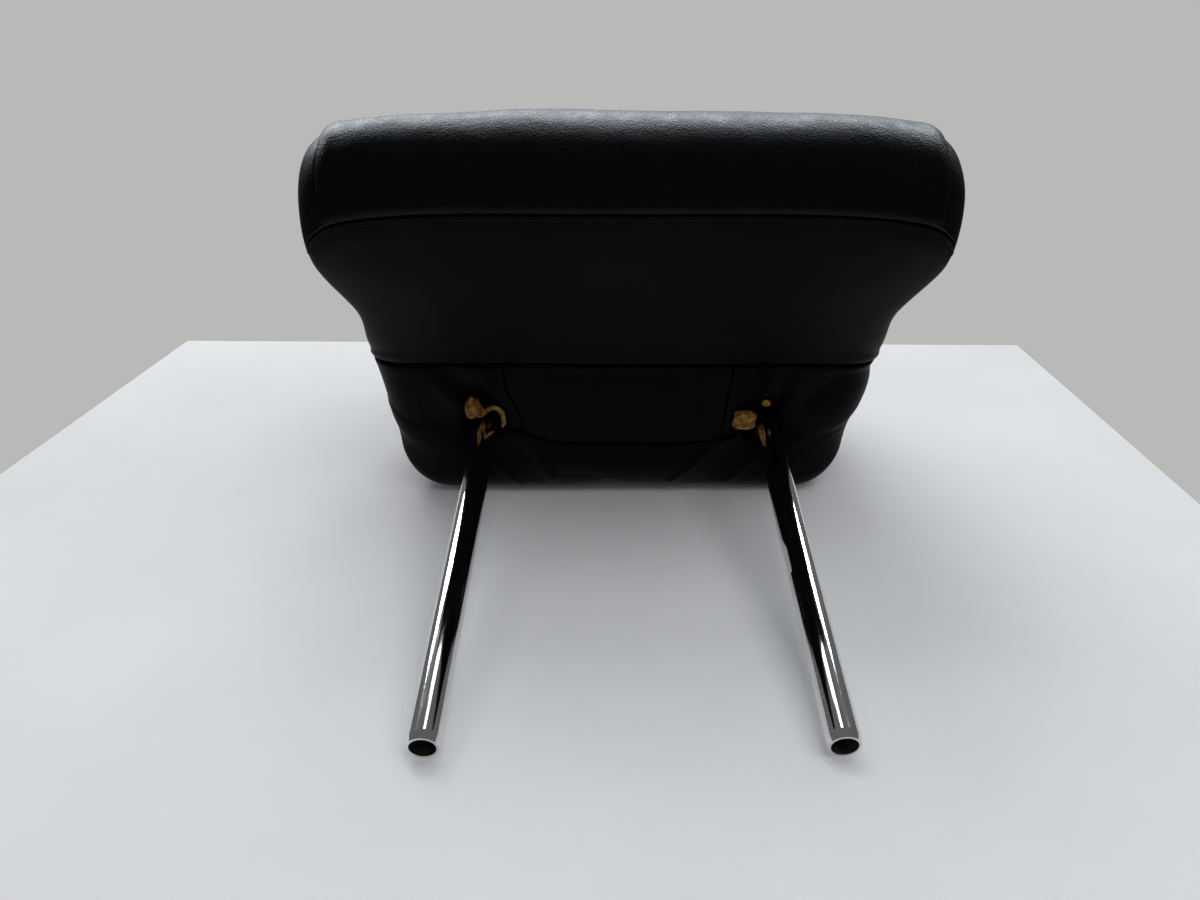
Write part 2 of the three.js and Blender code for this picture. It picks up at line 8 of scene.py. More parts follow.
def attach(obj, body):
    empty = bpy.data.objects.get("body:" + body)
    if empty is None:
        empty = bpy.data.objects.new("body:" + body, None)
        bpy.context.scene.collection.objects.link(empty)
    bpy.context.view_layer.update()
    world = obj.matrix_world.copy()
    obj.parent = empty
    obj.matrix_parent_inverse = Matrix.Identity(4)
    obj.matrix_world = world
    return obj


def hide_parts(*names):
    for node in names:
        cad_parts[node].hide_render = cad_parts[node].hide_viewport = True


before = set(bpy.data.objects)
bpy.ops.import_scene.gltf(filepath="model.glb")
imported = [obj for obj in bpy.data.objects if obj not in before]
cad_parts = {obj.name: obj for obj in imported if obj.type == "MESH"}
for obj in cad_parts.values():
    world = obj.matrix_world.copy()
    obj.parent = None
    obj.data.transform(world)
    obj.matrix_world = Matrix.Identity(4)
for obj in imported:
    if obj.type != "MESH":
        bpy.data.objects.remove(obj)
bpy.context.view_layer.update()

# Looks of a car headrest. Sizes are in millimetres until a mesh is made. "Reach" is the distance
# in front of the posts' axes (-Y), and z is the height above the posts' lower ends.
MM = 0.001
SEED = 7

# Posts
POST_RADIUS = 6.35
POST_BORE = 5.1
POST_X = 74.0
POST_SIDES = 72
UNDERSIDE = 184.0
CROSS_BAR_HEIGHT = 108.0
POST_BEND_RADIUS = 32.0
CHAMFER_DEPTH = 0.6
CHAMFER_LENGTH = 3.2
RIM_WALL = 0.85  # what is left of the tube's wall at its very end
LEFT_POST_LEAN = 3.0  # how far the left post's upper end stands inward
RIGHT_POST_LEAN = 1.5  # how far the right post's lower end stands inward
NOTCH_HEIGHT = 81.0
NOTCH_LENGTH = 14.0
NOTCH_RAMP = 6.0
NOTCH_DEPTH = 1.0

# Pad, as in the solids
PAD_HEIGHT = 148.0
CHIN_DROP = 37.0
CHIN_REACH = 161.5
CHIN_RADIUS = 29.5
CLOSURE_REACH = 40.0
CLOSURE_RADIUS = 12.0
TOP_REACH = 87.0
TOP_FRONT_RADIUS = 42.0
TOP_REAR_RADIUS = 28.0
BACK_SETBACK = 41.5
BACK_LEAN = math.radians(11)
REAR_RADIUS = 13.0
PAD_WIDTH = 253.0
CHIN_WIDTH = 268.0
REAR_WIDTH = 236.0
TOP_WIDTH = 226.0
WAIST_DEPTH = 6.0
WAIST_SPREAD = 24.0
TOP_CORNER_RADIUS = 30.0
FRONT_EDGE_RADIUS = 18.0
REAR_EDGE_RADIUS = 26.0
FACE_CROWN = 10.0
SIDE_BULGE = 5.0
HOLLOW_DEPTH = 11.0
HOLLOW_SPREAD = 10.0
SEAM_ANGLE = math.radians(-91)
LEATHER_EDGE = 1.25
VINYL_EDGE = 1.93
EDGE_RUN_OUT = 2.0
TOP_RUN_OUT = 45.0
PAD_SKEW = math.radians(0.4)  # the soft pad sits a little askew on its posts

# Covers
TURN_IN = 4.5  # how deep the panels' edges turn into the seams and slits
EDGE_ROUND = 1.6
SEAM_HALF_GAP = 0.25
SLIT_HALF_GAP = 0.7
FOAM_DEPTH = 6.0
CAVITY_DEPTH = 20.0  # how much deeper the worn foam lies round the posts
CAVITY_SPREAD = 12.0
SEAM_CROWN = 9.0  # how far the seam under the roll falls back at its ends
SEAM_CROWN_TOP = 215.0  # above this height the front has the solids' crown
SIDE_FULLNESS = 2.6  # the power by which a side's rim gives way to its middle, 2 in the solids
HALF_PANEL = 150.0  # about half a panel's width, round to its side edge
GUSSET_RUN = 60.0  # about the way from a gusset's edge to its middle
LEATHER_HANG = 1.2  # how far the roll's lower edge hangs over the seam
LEATHER_SWELL = 0.5  # how far the front panel's side edges stand over the gussets
VINYL_BEAD = 0.35  # height of the chin panel's turned edge along the seam
SLIT_LIP = 1.0  # height of the chin panel's lip over the slit
GUSSET_SINK = 1.2  # how far the gussets' edges lie under the panels' edges
BOARD_GAP = 0.4  # what is left between the soft back and the board

# Thread: distance between stitches, their length and the thread's radius
CHIN_STITCH = (4.4, 3.2, 0.26)
FLAP_STITCH = (4.2, 3.2, 0.28)
CHIN_STITCH_INSET = 2.2  # from the seam
FLAP_STITCH_INSET = 1.7
STITCH_ROW = 260  # points along the chin's row

# Camera: above the board that the headrest lies on, looking along the posts at the underside
BOARD_LEAN = math.radians(11.1)  # of the posts over the board
BOARD_OFFSET = 6.35
CAMERA_HEIGHT = 233.0
CAMERA_BACK = 228.1
CAMERA_SIDE = -12.06
CAMERA_LIFT = 4.0
CAMERA_PITCH = math.radians(26.7)
CAMERA_ROLL = math.radians(-0.2)
PHOTO_WIDTH, PHOTO_FOCAL = 1200.0, 870.0
SENSOR_WIDTH = 36.0

# Light: each lamp's name, place (x, away over the board, above the board), size in metres, power,
# colour, and the kind of ray that it is left out of
LAMP_TARGET = (0, 250, 60)
WHITE, SKY_BLUE = (1, 1, 1), (0.86, 0.93, 1.0)
LAMPS = [
    ("sky_lamp", (-250, 700, 900), (0.9, 0.7), 7.5, WHITE, "glossy"),
    ("roll_lamp", (-60, 850, 800), (1.9, 0.3), 60.0, SKY_BLUE, "diffuse"),
    ("near_lamp", (350, -100, 900), (0.8, 0.8), 4.5, WHITE, "glossy"),
    ("strip_lamp", (-150, 700, 900), (0.12, 0.5), 0.5, WHITE, "diffuse"),
    ("rim_lamp", (-20, 440, 1000), (0.2, 0.2), 0.4, WHITE, "diffuse"),
    ("rear_lamp", (0, 250, -900), (1.0, 1.0), 8.0, WHITE, None),
]
ROOM_TONE, ROOM_STRENGTH = (0.80, 0.82, 0.85), 0.55
MIRRORED_TONE = (0.13, 0.13, 0.125)
WALL_TONE = (0.485, 0.487, 0.475)


def smooth(value, low, high):
    t = np.clip((value - low) / (high - low), 0, 1)
    return t * t * (3 - 2 * t)


def mix(a, b, t):
    return a + (b - a) * t


# The belt round the pad in the side view: even pieces are rounds, odd pieces the runs between
PIECES = 10


def back_reach(z):
    return -BACK_SETBACK - math.tan(BACK_LEAN) * (z - UNDERSIDE)


def rear_round(z, radius):
    return (back_reach(z) + radius / math.cos(BACK_LEAN), z, radius)


PAD_TOP = UNDERSIDE + PAD_HEIGHT
CHIN_BOTTOM = UNDERSIDE - CHIN_DROP
ROUNDS = np.array([
    rear_round(UNDERSIDE + REAR_RADIUS, REAR_RADIUS),
    (CLOSURE_REACH, UNDERSIDE - CLOSURE_RADIUS, -CLOSURE_RADIUS),
    (CHIN_REACH - CHIN_RADIUS, CHIN_BOTTOM + CHIN_RADIUS, CHIN_RADIUS),
    (TOP_REACH - TOP_FRONT_RADIUS, PAD_TOP - TOP_FRONT_RADIUS, TOP_FRONT_RADIUS),
    rear_round(PAD_TOP - TOP_REAR_RADIUS, TOP_REAR_RADIUS),
])
CORE = ROUNDS[:, :2].mean(axis=0)


def run_normals():
    after = np.roll(ROUNDS, -1, axis=0)
    step = after - ROUNDS
    lean = np.arccos((ROUNDS[:, 2] - after[:, 2]) / np.hypot(step[:, 0], step[:, 1]))
    return np.arctan2(step[:, 1], step[:, 0]) - lean


NORMALS = run_normals()
STARTS = np.roll(NORMALS, 1)
SWEEPS = np.mod(NORMALS - STARTS + math.pi, 2 * math.pi) - math.pi


def on_round(index, angle):
    radius = ROUNDS[index, 2]
    return (ROUNDS[index, 0] + radius * np.cos(angle), ROUNDS[index, 1] + radius * np.sin(angle))


def outline(place):
    """Reach and z of the belt at a place."""
    place = np.mod(place, PIECES)
    piece = np.floor(place).astype(int)
    part = place - piece
    index = piece // 2
    after = (index + 1) % len(ROUNDS)
    turned = on_round(index, STARTS[index] + SWEEPS[index] * part)
    start = on_round(index, NORMALS[index])
    end = on_round(after, NORMALS[index])
    straight = piece % 2 == 1
    return tuple(np.where(straight, mix(s, e, part), t) for s, e, t in zip(start, end, turned))


def piece_lengths():
    lengths = []
    for piece in range(PIECES):
        if piece % 2 == 0:
            lengths.append(abs(SWEEPS[piece // 2] * ROUNDS[piece // 2, 2]))
        else:
            a, b = (outline(np.array(float(p))) for p in (piece, piece + 1))
            lengths.append(math.hypot(b[0] - a[0], b[1] - a[1]))
    return lengths


# "Along" is the distance along the belt in millimetres. On the flat underside it is the reach.
LENGTHS = piece_lengths()
LOOP = sum(LENGTHS)
MARKS = np.concatenate([[0], np.cumsum(LENGTHS)]) + CLOSURE_REACH - LENGTHS[0] - LENGTHS[1]


def place_at(along):
    """The place on the belt at a distance along it, for up to a turn either way."""
    marks = np.concatenate([MARKS[:-1] - LOOP, MARKS[:-1], MARKS + LOOP])
    return np.interp(along, marks, np.arange(3 * PIECES + 1) - PIECES)


def along_at(place):
    return float(np.interp(place, np.arange(PIECES + 1), MARKS))


SEAM_PLACE = 4 + np.mod(SEAM_ANGLE - STARTS[2], 2 * math.pi) / SWEEPS[2]
SEAM_ALONG = along_at(SEAM_PLACE)
SLIT_ALONG = along_at(2)
JOIN_ALONG = along_at(8.5)


def half_width(reach, z):
    chin_top = CHIN_BOTTOM + 2 * CHIN_RADIUS
    flare = smooth(reach, CLOSURE_REACH, CHIN_REACH) * (1 - smooth(z, chin_top, PAD_TOP))
    rear = 1 - smooth(reach, -CLOSURE_REACH, CLOSURE_REACH)
    rise = np.clip((z - UNDERSIDE) / PAD_HEIGHT, 0, 1)
    chin_middle = (CLOSURE_REACH + CHIN_REACH - CHIN_RADIUS) / 2
    below = 1 - smooth(z, UNDERSIDE, UNDERSIDE + CHIN_RADIUS)
    waist = WAIST_DEPTH * below * np.exp(-((reach - chin_middle) / WAIST_SPREAD) ** 2)
    corner = np.clip(z - PAD_TOP + TOP_CORNER_RADIUS, 0, TOP_CORNER_RADIUS)
    rounding = TOP_CORNER_RADIUS - np.sqrt(TOP_CORNER_RADIUS ** 2 - corner ** 2)
    return (PAD_WIDTH / 2 + flare * (CHIN_WIDTH - PAD_WIDTH) / 2 - rear * (PAD_WIDTH - REAR_WIDTH) / 2
            - rise * (PAD_WIDTH - TOP_WIDTH) / 2 - waist - rounding)


def edge_radius(reach):
    return mix(REAR_EDGE_RADIUS, FRONT_EDGE_RADIUS, smooth(reach, -BACK_SETBACK, 2 * CLOSURE_REACH))


CORE_HALF = float(half_width(CORE[0], CORE[1]))


def face(along, across):
    """Points of the pad's face. "Across" runs from -3 to 3: up to 1 lies on the broad faces, from
    1 to 2 on the rounded side edge, and from 2 to 3 on the side, to its middle."""
    base_reach, base_z = outline(place_at(along))
    half = half_width(base_reach, base_z)
    radius = edge_radius(base_reach)
    amount = np.abs(across)
    angle = np.clip(amount - 1, 0, 1) * math.pi / 2
    span = np.hypot(base_reach - CORE[0], base_z - CORE[1])
    left = np.clip(3 - amount, 0, 1)
    x = np.where(amount <= 1, amount * (half - radius), half - radius + radius * np.sin(angle))
    x = mix(CORE_HALF + SIDE_BULGE, x, left ** SIDE_FULLNESS)
    scale = (1 - radius * (1 - np.cos(angle)) / span) * left
    reach = CORE[0] + (base_reach - CORE[0]) * scale
    z = CORE[1] + (base_z - CORE[1]) * scale
    share = x / half
    high = smooth(z, CHIN_BOTTOM + CHIN_RADIUS / 2, SEAM_CROWN_TOP)
    crown = mix(SEAM_CROWN * share ** 6, FACE_CROWN * share ** 2, high)
    reach = reach - crown * smooth(reach, CLOSURE_REACH, CHIN_REACH - CHIN_RADIUS)
    off = (x - POST_X) / HOLLOW_SPREAD
    low = 1 - smooth(z, UNDERSIDE, CORE[1])
    z = z + HOLLOW_DEPTH * low * np.exp(-(off * off + (reach / HOLLOW_SPREAD) ** 2) / 2)
    x = np.sign(across) * x
    spin, turn = math.cos(PAD_SKEW), math.sin(PAD_SKEW)
    return np.stack([x * spin + reach * turn, x * turn - reach * spin, z], axis=-1)


def skin(along, across, depth):
    """Points of the pad at a depth under its face, square to the face."""
    near = np.clip(across, 0.02 - 3, 3 - 0.02)
    ahead = face(along + 0.5, near) - face(along - 0.5, near)
    beside = face(along, near + 0.01) - face(along, near - 0.01)
    inward = np.cross(ahead, beside)
    inward /= np.linalg.norm(inward, axis=-1, keepdims=True)
    return face(along, across) + inward * depth[..., None]


def flat_half(along):
    reach, z = outline(place_at(along))
    return half_width(reach, z) - edge_radius(reach)


def panel_edge(along):
    """How far the leather or the vinyl reaches round the side edge."""
    into = smooth(along, SEAM_ALONG, SEAM_ALONG + EDGE_RUN_OUT)
    out = 1 - smooth(along, JOIN_ALONG - TOP_RUN_OUT, JOIN_ALONG)
    return mix(VINYL_EDGE, LEATHER_EDGE, into * out)


# Folds of the vinyl underneath: points of x and reach, half width, and height (below 0 a valley)
FOLDS = [
    ([(-87, 33), (-78, 22), (-70, 11)], 5.5, -3.4),
    ([(-69, 36), (-61, 17)], 3.2, 1.3),
    ([(-92, 32), (-85, 14)], 6.0, 1.6),
    ([(-118, 33), (-97, -6)], 8.0, 1.2),
    ([(-108, 30), (-99, 6)], 3.5, -0.9),
    ([(67, 36), (69, 30)], 2.4, -2.6),
    ([(65.2, 37), (63.3, 26), (58.5, 17)], 1.3, 1.2),
    ([(79, 33), (78, 22), (76, 12)], 5.0, -3.2),
    ([(71.5, 27), (74.2, 35)], 2.0, 1.2),
    ([(98, 7), (121, 33)], 7.0, 1.8),
    ([(90, -8), (106, 5)], 4.0, 1.0),
    ([(93, 20), (105, 33)], 4.0, -1.2),
    ([(100, -3), (118, 15)], 3.5, -0.9),
    ([(-50, -6), (-44, -17), (-38, -31)], 2.2, 1.3),
    ([(-57, -12), (-46, -32)], 3.5, -0.9),
    ([(-69, -20), (-54, -37)], 2.2, 1.1),
    ([(52, -6), (38, -20), (26, -34)], 2.2, 1.3),
    ([(60, -10), (42, -33)], 3.5, -0.9),
    ([(71, -17), (55, -34)], 2.2, 1.2),
    ([(-14, -13), (-16, -31)], 4.0, 0.6),
    ([(6, -12), (2, -33)], 5.0, -0.5),
]


def stroke(x, along, points, width, height):
    """A fold's height at each point: full along its line, and fading at its ends and sides."""
    nearest = np.full(x.shape, 1e9)
    for (x0, a0), (x1, a1) in zip(points, points[1:]):
        length2 = (x1 - x0) ** 2 + (a1 - a0) ** 2
        t = np.clip(((x - x0) * (x1 - x0) + (along - a0) * (a1 - a0)) / length2, 0, 1)
        distance2 = (x - mix(x0, x1, t)) ** 2 + (along - mix(a0, a1, t)) ** 2
        nearest = np.minimum(nearest, distance2)
    return height * np.exp(-nearest / (width * width))


def noise_field(points, scale, offset):
    """Smooth noise from -1 to 1 at each point, for features about "scale" millimetres wide."""
    shift = Vector((offset, SEED, 0))
    flat = points.reshape(-1, 3) / scale
    values = [noise.noise(Vector(p) + shift) for p in flat]
    return np.array(values).reshape(points.shape[:-1])


def broad_x(along, across):
    return np.clip(across, -1, 1) * flat_half(along)


def relief(along, across):
    """How far the covers stand proud of the pad's plain form, in millimetres."""
    x = broad_x(along, across)
    under = 1 - smooth(along, SLIT_ALONG + 3, SLIT_ALONG + 8)
    height = sum(stroke(x, along, *fold) for fold in FOLDS) * under
    plain = face(along, across)
    return height + 0.7 * noise_field(plain, 42, 3.1) + 0.25 * noise_field(plain, 17, 9.7)


# Outlines of the openings in the vinyl underneath, as x and reach
LEFT_HOLE = [
    (-80.3, 6), (-80.3, 12.5), (-77.5, 17.6), (-73.5, 17.2), (-70, 13.4), (-65, 13), (-61.5, 9.2),
    (-60.2, 3.2), (-61, -2.5), (-64, -6), (-70, -9.5), (-77, -10), (-82, -7), (-82.5, -1),
]
RIGHT_HOLE = [
    (56.6, -2.5), (56.2, 11.5), (61, 12), (66.5, 10), (69, 11), (70.8, 15.4), (74.5, 15.6),
    (77.5, 10.5), (80.5, 5), (82, -3), (80, -8), (74, -10.5), (66, -9), (60, -4),
]
FLAP_LEFT = [(-60.5, 46), (-59.9, 38), (-58.9, 25), (-55.1, 15), (-52.5, 7), (-52.4, -1)]
FLAP_REAR = [
    (-52.4, -1), (-45.6, -5.3), (-33.3, -8.1), (-12, -8.8), (22.8, -9.2), (43.5, -7.6), (50.5, -4.6),
]
FLAP_RIGHT = [(50.5, -4.6), (51.7, 12.6), (52.2, 24.7), (53.1, 37), (53.5, 46)]
LEFT_SLIT = [(-51, -1.9), (-62, -1.9)]
RIGHT_SLIT = [(50, -5.2), (59, -4.6)]
SLIT_HALF = 0.8


def rounded(points, closed, spacing=0.4, passes=40):
    """A dense line through the points, with its corners eased."""
    if closed:
        points = points + points[:1]
    dense = []
    for a, b in zip(points, points[1:]):
        count = max(1, round(math.dist(a, b) / spacing))
        dense += [(mix(a[0], b[0], i / count), mix(a[1], b[1], i / count)) for i in range(count)]
    if not closed:
        dense.append(points[-1])
    line = np.array(dense)
    for _ in range(passes):
        eased = (np.roll(line, 1, axis=0) + line + np.roll(line, -1, axis=0)) / 3
        if not closed:
            eased[0], eased[-1] = line[0], line[-1]
        line = eased
    return line


def capsule(a, b, radius):
    """The outline of a straight slit."""
    heading = math.atan2(b[1] - a[1], b[0] - a[0])
    ring = []
    for end, start in ((b, -math.pi / 2), (a, math.pi / 2)):
        for i in range(9):
            angle = heading + start + math.pi * i / 8
            ring.append((end[0] + radius * math.cos(angle), end[1] + radius * math.sin(angle)))
    return rounded(ring, True, 0.25, 0)


def inside(line, x, y):
    """Whether each point lies inside a closed line."""
    hit = np.zeros(x.shape, bool)
    for (x0, y0), (x1, y1) in zip(line, np.roll(line, -1, axis=0)):
        if y0 != y1:
            crosses = (y0 > y) != (y1 > y)
            hit ^= crosses & (x < (x1 - x0) * (y - y0) / (y1 - y0) + x0)
    return hit


def nearest_on(line, x, y):
    """The nearest of a line's points to each point, and how far it is."""
    best = np.full(x.shape, 1e9)
    near_x, near_y = x.copy(), y.copy()
    for px, py in line:
        distance = np.hypot(x - px, y - py)
        closer = distance < best
        best = np.where(closer, distance, best)
        near_x = np.where(closer, px, near_x)
        near_y = np.where(closer, py, near_y)
    return near_x, near_y, best


def eased_edge(distance, radius):
    """How far a rounded edge falls away at a distance from its end."""
    t = np.clip(1 - distance / radius, 0, 1)
    return radius * (1 - np.sqrt(1 - t * t))


def material_of(name):
    return bpy.data.materials.get(name) or bpy.data.materials.new(name)


def mesh_piece(name, points, faces, material, flat=False):
    mesh = bpy.data.meshes.new(name)
    mesh.from_pydata([tuple(p) for p in np.asarray(points) * MM], [], faces)
    mesh.materials.append(material)
    mesh.validate()
    mesh.polygons.foreach_set("use_smooth", [not flat] * len(mesh.polygons))
    mesh.update()
    piece = bpy.data.objects.new(name, mesh)
    bpy.context.scene.collection.objects.link(piece)
    return piece


def grid_faces(rows, columns, keep=None, wrap=False):
    """Quads of a grid of points, facing the way the belt's outside does."""
    faces = []
    last = rows if wrap else rows - 1
    for i in range(last):
        a, b = i * columns, (i + 1) % rows * columns
        for j in range(columns - 1):
            quad = (a + j, a + j + 1, b + j + 1, b + j)
            if keep is None or any(keep[k] for k in quad):
                faces.append(quad)
    return faces


def turned_in(values, half_gap_start, half_gap_end, units, edge_round=EDGE_ROUND):
    """Values along one side of a panel with its edges turned in: the values, and each one's
    depth below the face. "Units" is the length of one unit of the values in millimetres."""
    first = values[0] + half_gap_start / units
    last = values[-1] - half_gap_end / units
    inner = values[(values > first + 0.2 / units) & (values < last - 0.2 / units)]
    body = np.concatenate([[first], inner, [last]])
    near = np.minimum(body - first, last - body) * units
    depth = eased_edge(near, edge_round)
    steps = np.array([TURN_IN, mix(edge_round, TURN_IN, 0.5)])
    return (np.concatenate([[first] * 2, body, [last] * 2]),
            np.concatenate([steps, depth, steps[::-1]]))


def cover_sheet(alongs, along_depth, shares, side_depth):
    """A panel whose columns run between its two side edges. Shares run from -1 to 1."""
    along, share = np.meshgrid(alongs, shares, indexing="ij")
    # the middle of the panel keeps an even spacing, and the last part goes round the edge
    middle = 0.9
    inner = np.abs(share) / middle
    outer = mix(1.0, panel_edge(along), (np.abs(share) - middle) / (1 - middle))
    across = np.sign(share) * np.where(np.abs(share) <= middle, inner, outer)
    depth = np.maximum(along_depth[:, None], side_depth[None, :])
    return along, across, depth


def side_columns(count):
    """Shares across a panel and their depths. The arc at each edge spans a tenth of the shares."""
    arc = 0.1 * np.linspace(0, 1, 14)[:-1]
    values = np.concatenate([arc - 1, np.linspace(-0.9, 0.9, count), 1 - arc[::-1]])
    return turned_in(values, SEAM_HALF_GAP, SEAM_HALF_GAP, HALF_PANEL)


def fine_rows(start, end, spacing, finer=(), fine_spacing=0.6):
    """Distances along the belt, closer together in some stretches."""
    rows = [start]
    while rows[-1] < end:
        here = rows[-1]
        close = any(low <= here <= high for low, high in finer)
        rows.append(here + (fine_spacing if close else spacing))
    rows[-1] = end
    return np.array(rows)


# Simulation of the covers as cloth under the foam's pressure, held along the seams
SIM_ROWS = 150
SIM_START_DEPTH = 1.2
SIM_CAP = 3.5
SIM_FRAMES = 20
SIM_SETTINGS = {
    "quality": 5, "mass": 0.2, "tension_stiffness": 30, "compression_stiffness": 30,
    "shear_stiffness": 15, "bending_stiffness": 6, "air_damping": 2, "shrink_min": 0.0,
    "uniform_pressure_force": 4, "pin_stiffness": 2,
}


def puffed_covers():
    """How each point of a coarse grid over the pad moves when it swells: along, across, x, y, z."""
    alongs = np.linspace(MARKS[0], MARKS[0] + LOOP, SIM_ROWS, endpoint=False)
    half = np.concatenate([np.linspace(0, 1, 22), np.linspace(1, 2, 9)[1:], np.linspace(2, 3, 8)[1:-1]])
    acrosses = np.concatenate([-half[:0:-1], half])
    along, across = np.meshgrid(alongs, acrosses, indexing="ij")
    points = skin(along, across, np.full(along.shape, SIM_START_DEPTH))
    columns = len(acrosses)
    faces = grid_faces(SIM_ROWS, columns, wrap=True)
    poles = skin(np.zeros(2), np.array([-3.0, 3.0]), np.full(2, SIM_START_DEPTH))
    count = SIM_ROWS * columns
    for i in range(SIM_ROWS):
        after = (i + 1) % SIM_ROWS
        faces.append((i * columns, after * columns, count))
        faces.append((after * columns + columns - 1, i * columns + columns - 1, count + 1))
    flat = np.concatenate([points.reshape(-1, 3), poles])
    body = mesh_piece("sim_covers", flat, faces, material_of("vinyl"))
    x = broad_x(along, across)
    held = np.zeros(along.shape)
    for line in (SEAM_ALONG, SLIT_ALONG, JOIN_ALONG):
        off = np.abs(np.mod(along - line + LOOP / 2, LOOP) - LOOP / 2)
        held = np.maximum(held, np.exp(-(off / 3.0) ** 2))
    edge_off = np.abs(np.abs(across) - panel_edge(np.mod(along - MARKS[0], LOOP) + MARKS[0])) * 30
    held = np.maximum(held, np.exp(-(edge_off / 3.5) ** 2))
    under = np.where(along < SLIT_ALONG, 1.0, 0.0)
    for points_of in (FLAP_LEFT, FLAP_REAR, FLAP_RIGHT):
        held = np.maximum(held, under * stroke(x, along, points_of, 3.0, 1.0))
    for side in (-1, 1):
        held = np.maximum(held, under * np.exp(-((x - side * POST_X) ** 2 + along ** 2) / 14.0 ** 2))
    group = body.vertex_groups.new(name="held")
    for index, weight in enumerate(held.ravel()):
        if weight > 0.02:
            group.add([index], float(min(weight, 1)), "REPLACE")
    cloth = body.modifiers.new("cloth", "CLOTH")
    cloth.settings.use_pressure = True
    cloth.settings.vertex_group_mass = "held"
    for name, value in SIM_SETTINGS.items():
        setattr(cloth.settings, name, value)
    cloth.settings.effector_weights.gravity = 0
    cloth.collision_settings.use_collision = False
    scene = bpy.context.scene
    scene.frame_start, scene.frame_end = 1, SIM_FRAMES
    for step in range(1, SIM_FRAMES + 1):
        scene.frame_set(step)
    shown = body.evaluated_get(bpy.context.evaluated_depsgraph_get()).to_mesh()
    after = np.empty(len(shown.vertices) * 3)
    shown.vertices.foreach_get("co", after)
    scene.frame_set(1)
    bpy.data.objects.remove(body)
    move = after.reshape(-1, 3)[:count] / MM - flat[:count]
    length = np.linalg.norm(move, axis=1, keepdims=True)
    move *= SIM_CAP * np.tanh(length / SIM_CAP) / np.maximum(length, 1e-6)
    return alongs, acrosses, move.reshape(len(alongs), len(acrosses), 3)


PUFF_ALONGS, PUFF_ACROSSES, PUFF = puffed_covers()


def puff(along, across):
    """The simulated movement, between the points of its grid."""
    row = np.mod(along - PUFF_ALONGS[0], LOOP) / LOOP * len(PUFF_ALONGS)
    column = np.interp(across, PUFF_ACROSSES, np.arange(len(PUFF_ACROSSES)))
    r0, c0 = np.floor(row).astype(int), np.minimum(np.floor(column).astype(int), len(PUFF_ACROSSES) - 2)
    fr, fc = (row - r0)[..., None], (column - c0)[..., None]
    r1 = (r0 + 1) % len(PUFF_ALONGS)
    r0 = r0 % len(PUFF_ALONGS)
    low = mix(PUFF[r0, c0], PUFF[r0, c0 + 1], fc)
    high = mix(PUFF[r1, c0], PUFF[r1, c0 + 1], fc)
    return mix(low, high, fr)


def covered(along, across, depth):
    """Points of a cover: the pad's form with its folds and the simulated swelling."""
    fade = np.clip(1 - depth / TURN_IN, 0, 1)
    points = skin(along, across, depth - relief(along, across) * mix(0.4, 1.0, fade))
    points = points + puff(along, across) * fade[..., None]
    # the soft back lies flat on the board
    y, z = points[..., 1], points[..., 2]
    over = (BOARD_OFFSET - y) * math.cos(BOARD_LEAN) + z * math.sin(BOARD_LEAN)
    points[..., 1] -= np.clip(BOARD_GAP - over, 0, 4)
    return points


def cover_mesh(name, along, across, depth, material, keep=None):
    faces = grid_faces(*along.shape, keep)
    return mesh_piece(name, covered(along, across, depth).reshape(-1, 3), faces, material)


def cover_front(material):
    lower = [(SEAM_ALONG, SEAM_ALONG + 6)]
    rows = fine_rows(SEAM_ALONG, JOIN_ALONG, 1.7, lower, 0.5)
    rows, row_depth = turned_in(rows, SEAM_HALF_GAP, SEAM_HALF_GAP, 1.0, 1.1)
    shares, side_depth = side_columns(150)
    along, across, depth = cover_sheet(rows, row_depth, shares, side_depth)
    # the leather's lower edge hangs over the seam, and its side edges swell beside the gussets
    depth = depth - LEATHER_HANG * np.exp(-((along - SEAM_ALONG - 3.2) / 3.0) ** 2)
    depth = depth - LEATHER_SWELL * np.exp(-(((1 - np.abs(shares)) * HALF_PANEL - 9) / 7) ** 2)
    return cover_mesh("front_cover", along, across, depth, material)


def cover_chin(material):
    rows = fine_rows(SLIT_ALONG, SEAM_ALONG, 1.3, [(SEAM_ALONG - 4, SEAM_ALONG)], 0.3)
    rows, row_depth = turned_in(rows, SLIT_HALF_GAP, SEAM_HALF_GAP, 1.0, 0.5)
    shares, side_depth = side_columns(150)
    along, across, depth = cover_sheet(rows, row_depth, shares, side_depth)
    # a narrow turned edge stands up beside the seam, and the lip over the slit swells
    depth = depth - VINYL_BEAD * np.exp(-((SEAM_ALONG - along - 1.0) / 0.7) ** 2)
    depth = depth - SLIT_LIP * np.exp(-((along - SLIT_ALONG - 4.0) / 3.5) ** 2)
    return cover_mesh("chin_cover", along, across, depth, material)


def cover_flap(material):
    left, rear, right = (np.array(line) for line in (FLAP_LEFT, FLAP_REAR, FLAP_RIGHT))
    shares, side_depth = turned_in(np.linspace(-1, 1, 90), 0.2, 0.2, 54.0)
    parts, row_depth = turned_in(np.linspace(0, 1, 46), SLIT_HALF_GAP, SLIT_HALF_GAP, 52.0)
    part, share = np.meshgrid(parts, shares, indexing="ij")
    x = mix(rear[0, 0], rear[-1, 0], (share + 1) / 2)
    rear_reach = np.interp(x, rear[:, 0], rear[:, 1])
    along = mix(rear_reach, SLIT_ALONG, part)
    left_x = np.interp(along, left[::-1, 1], left[::-1, 0])
    right_x = np.interp(along, right[:, 1], right[:, 0])
    x = mix(left_x, right_x, (share + 1) / 2)
    depth = np.maximum(row_depth[:, None], side_depth[None, :] * 0.7)
    return cover_mesh("centre_flap", along, x / flat_half(along), depth, material)


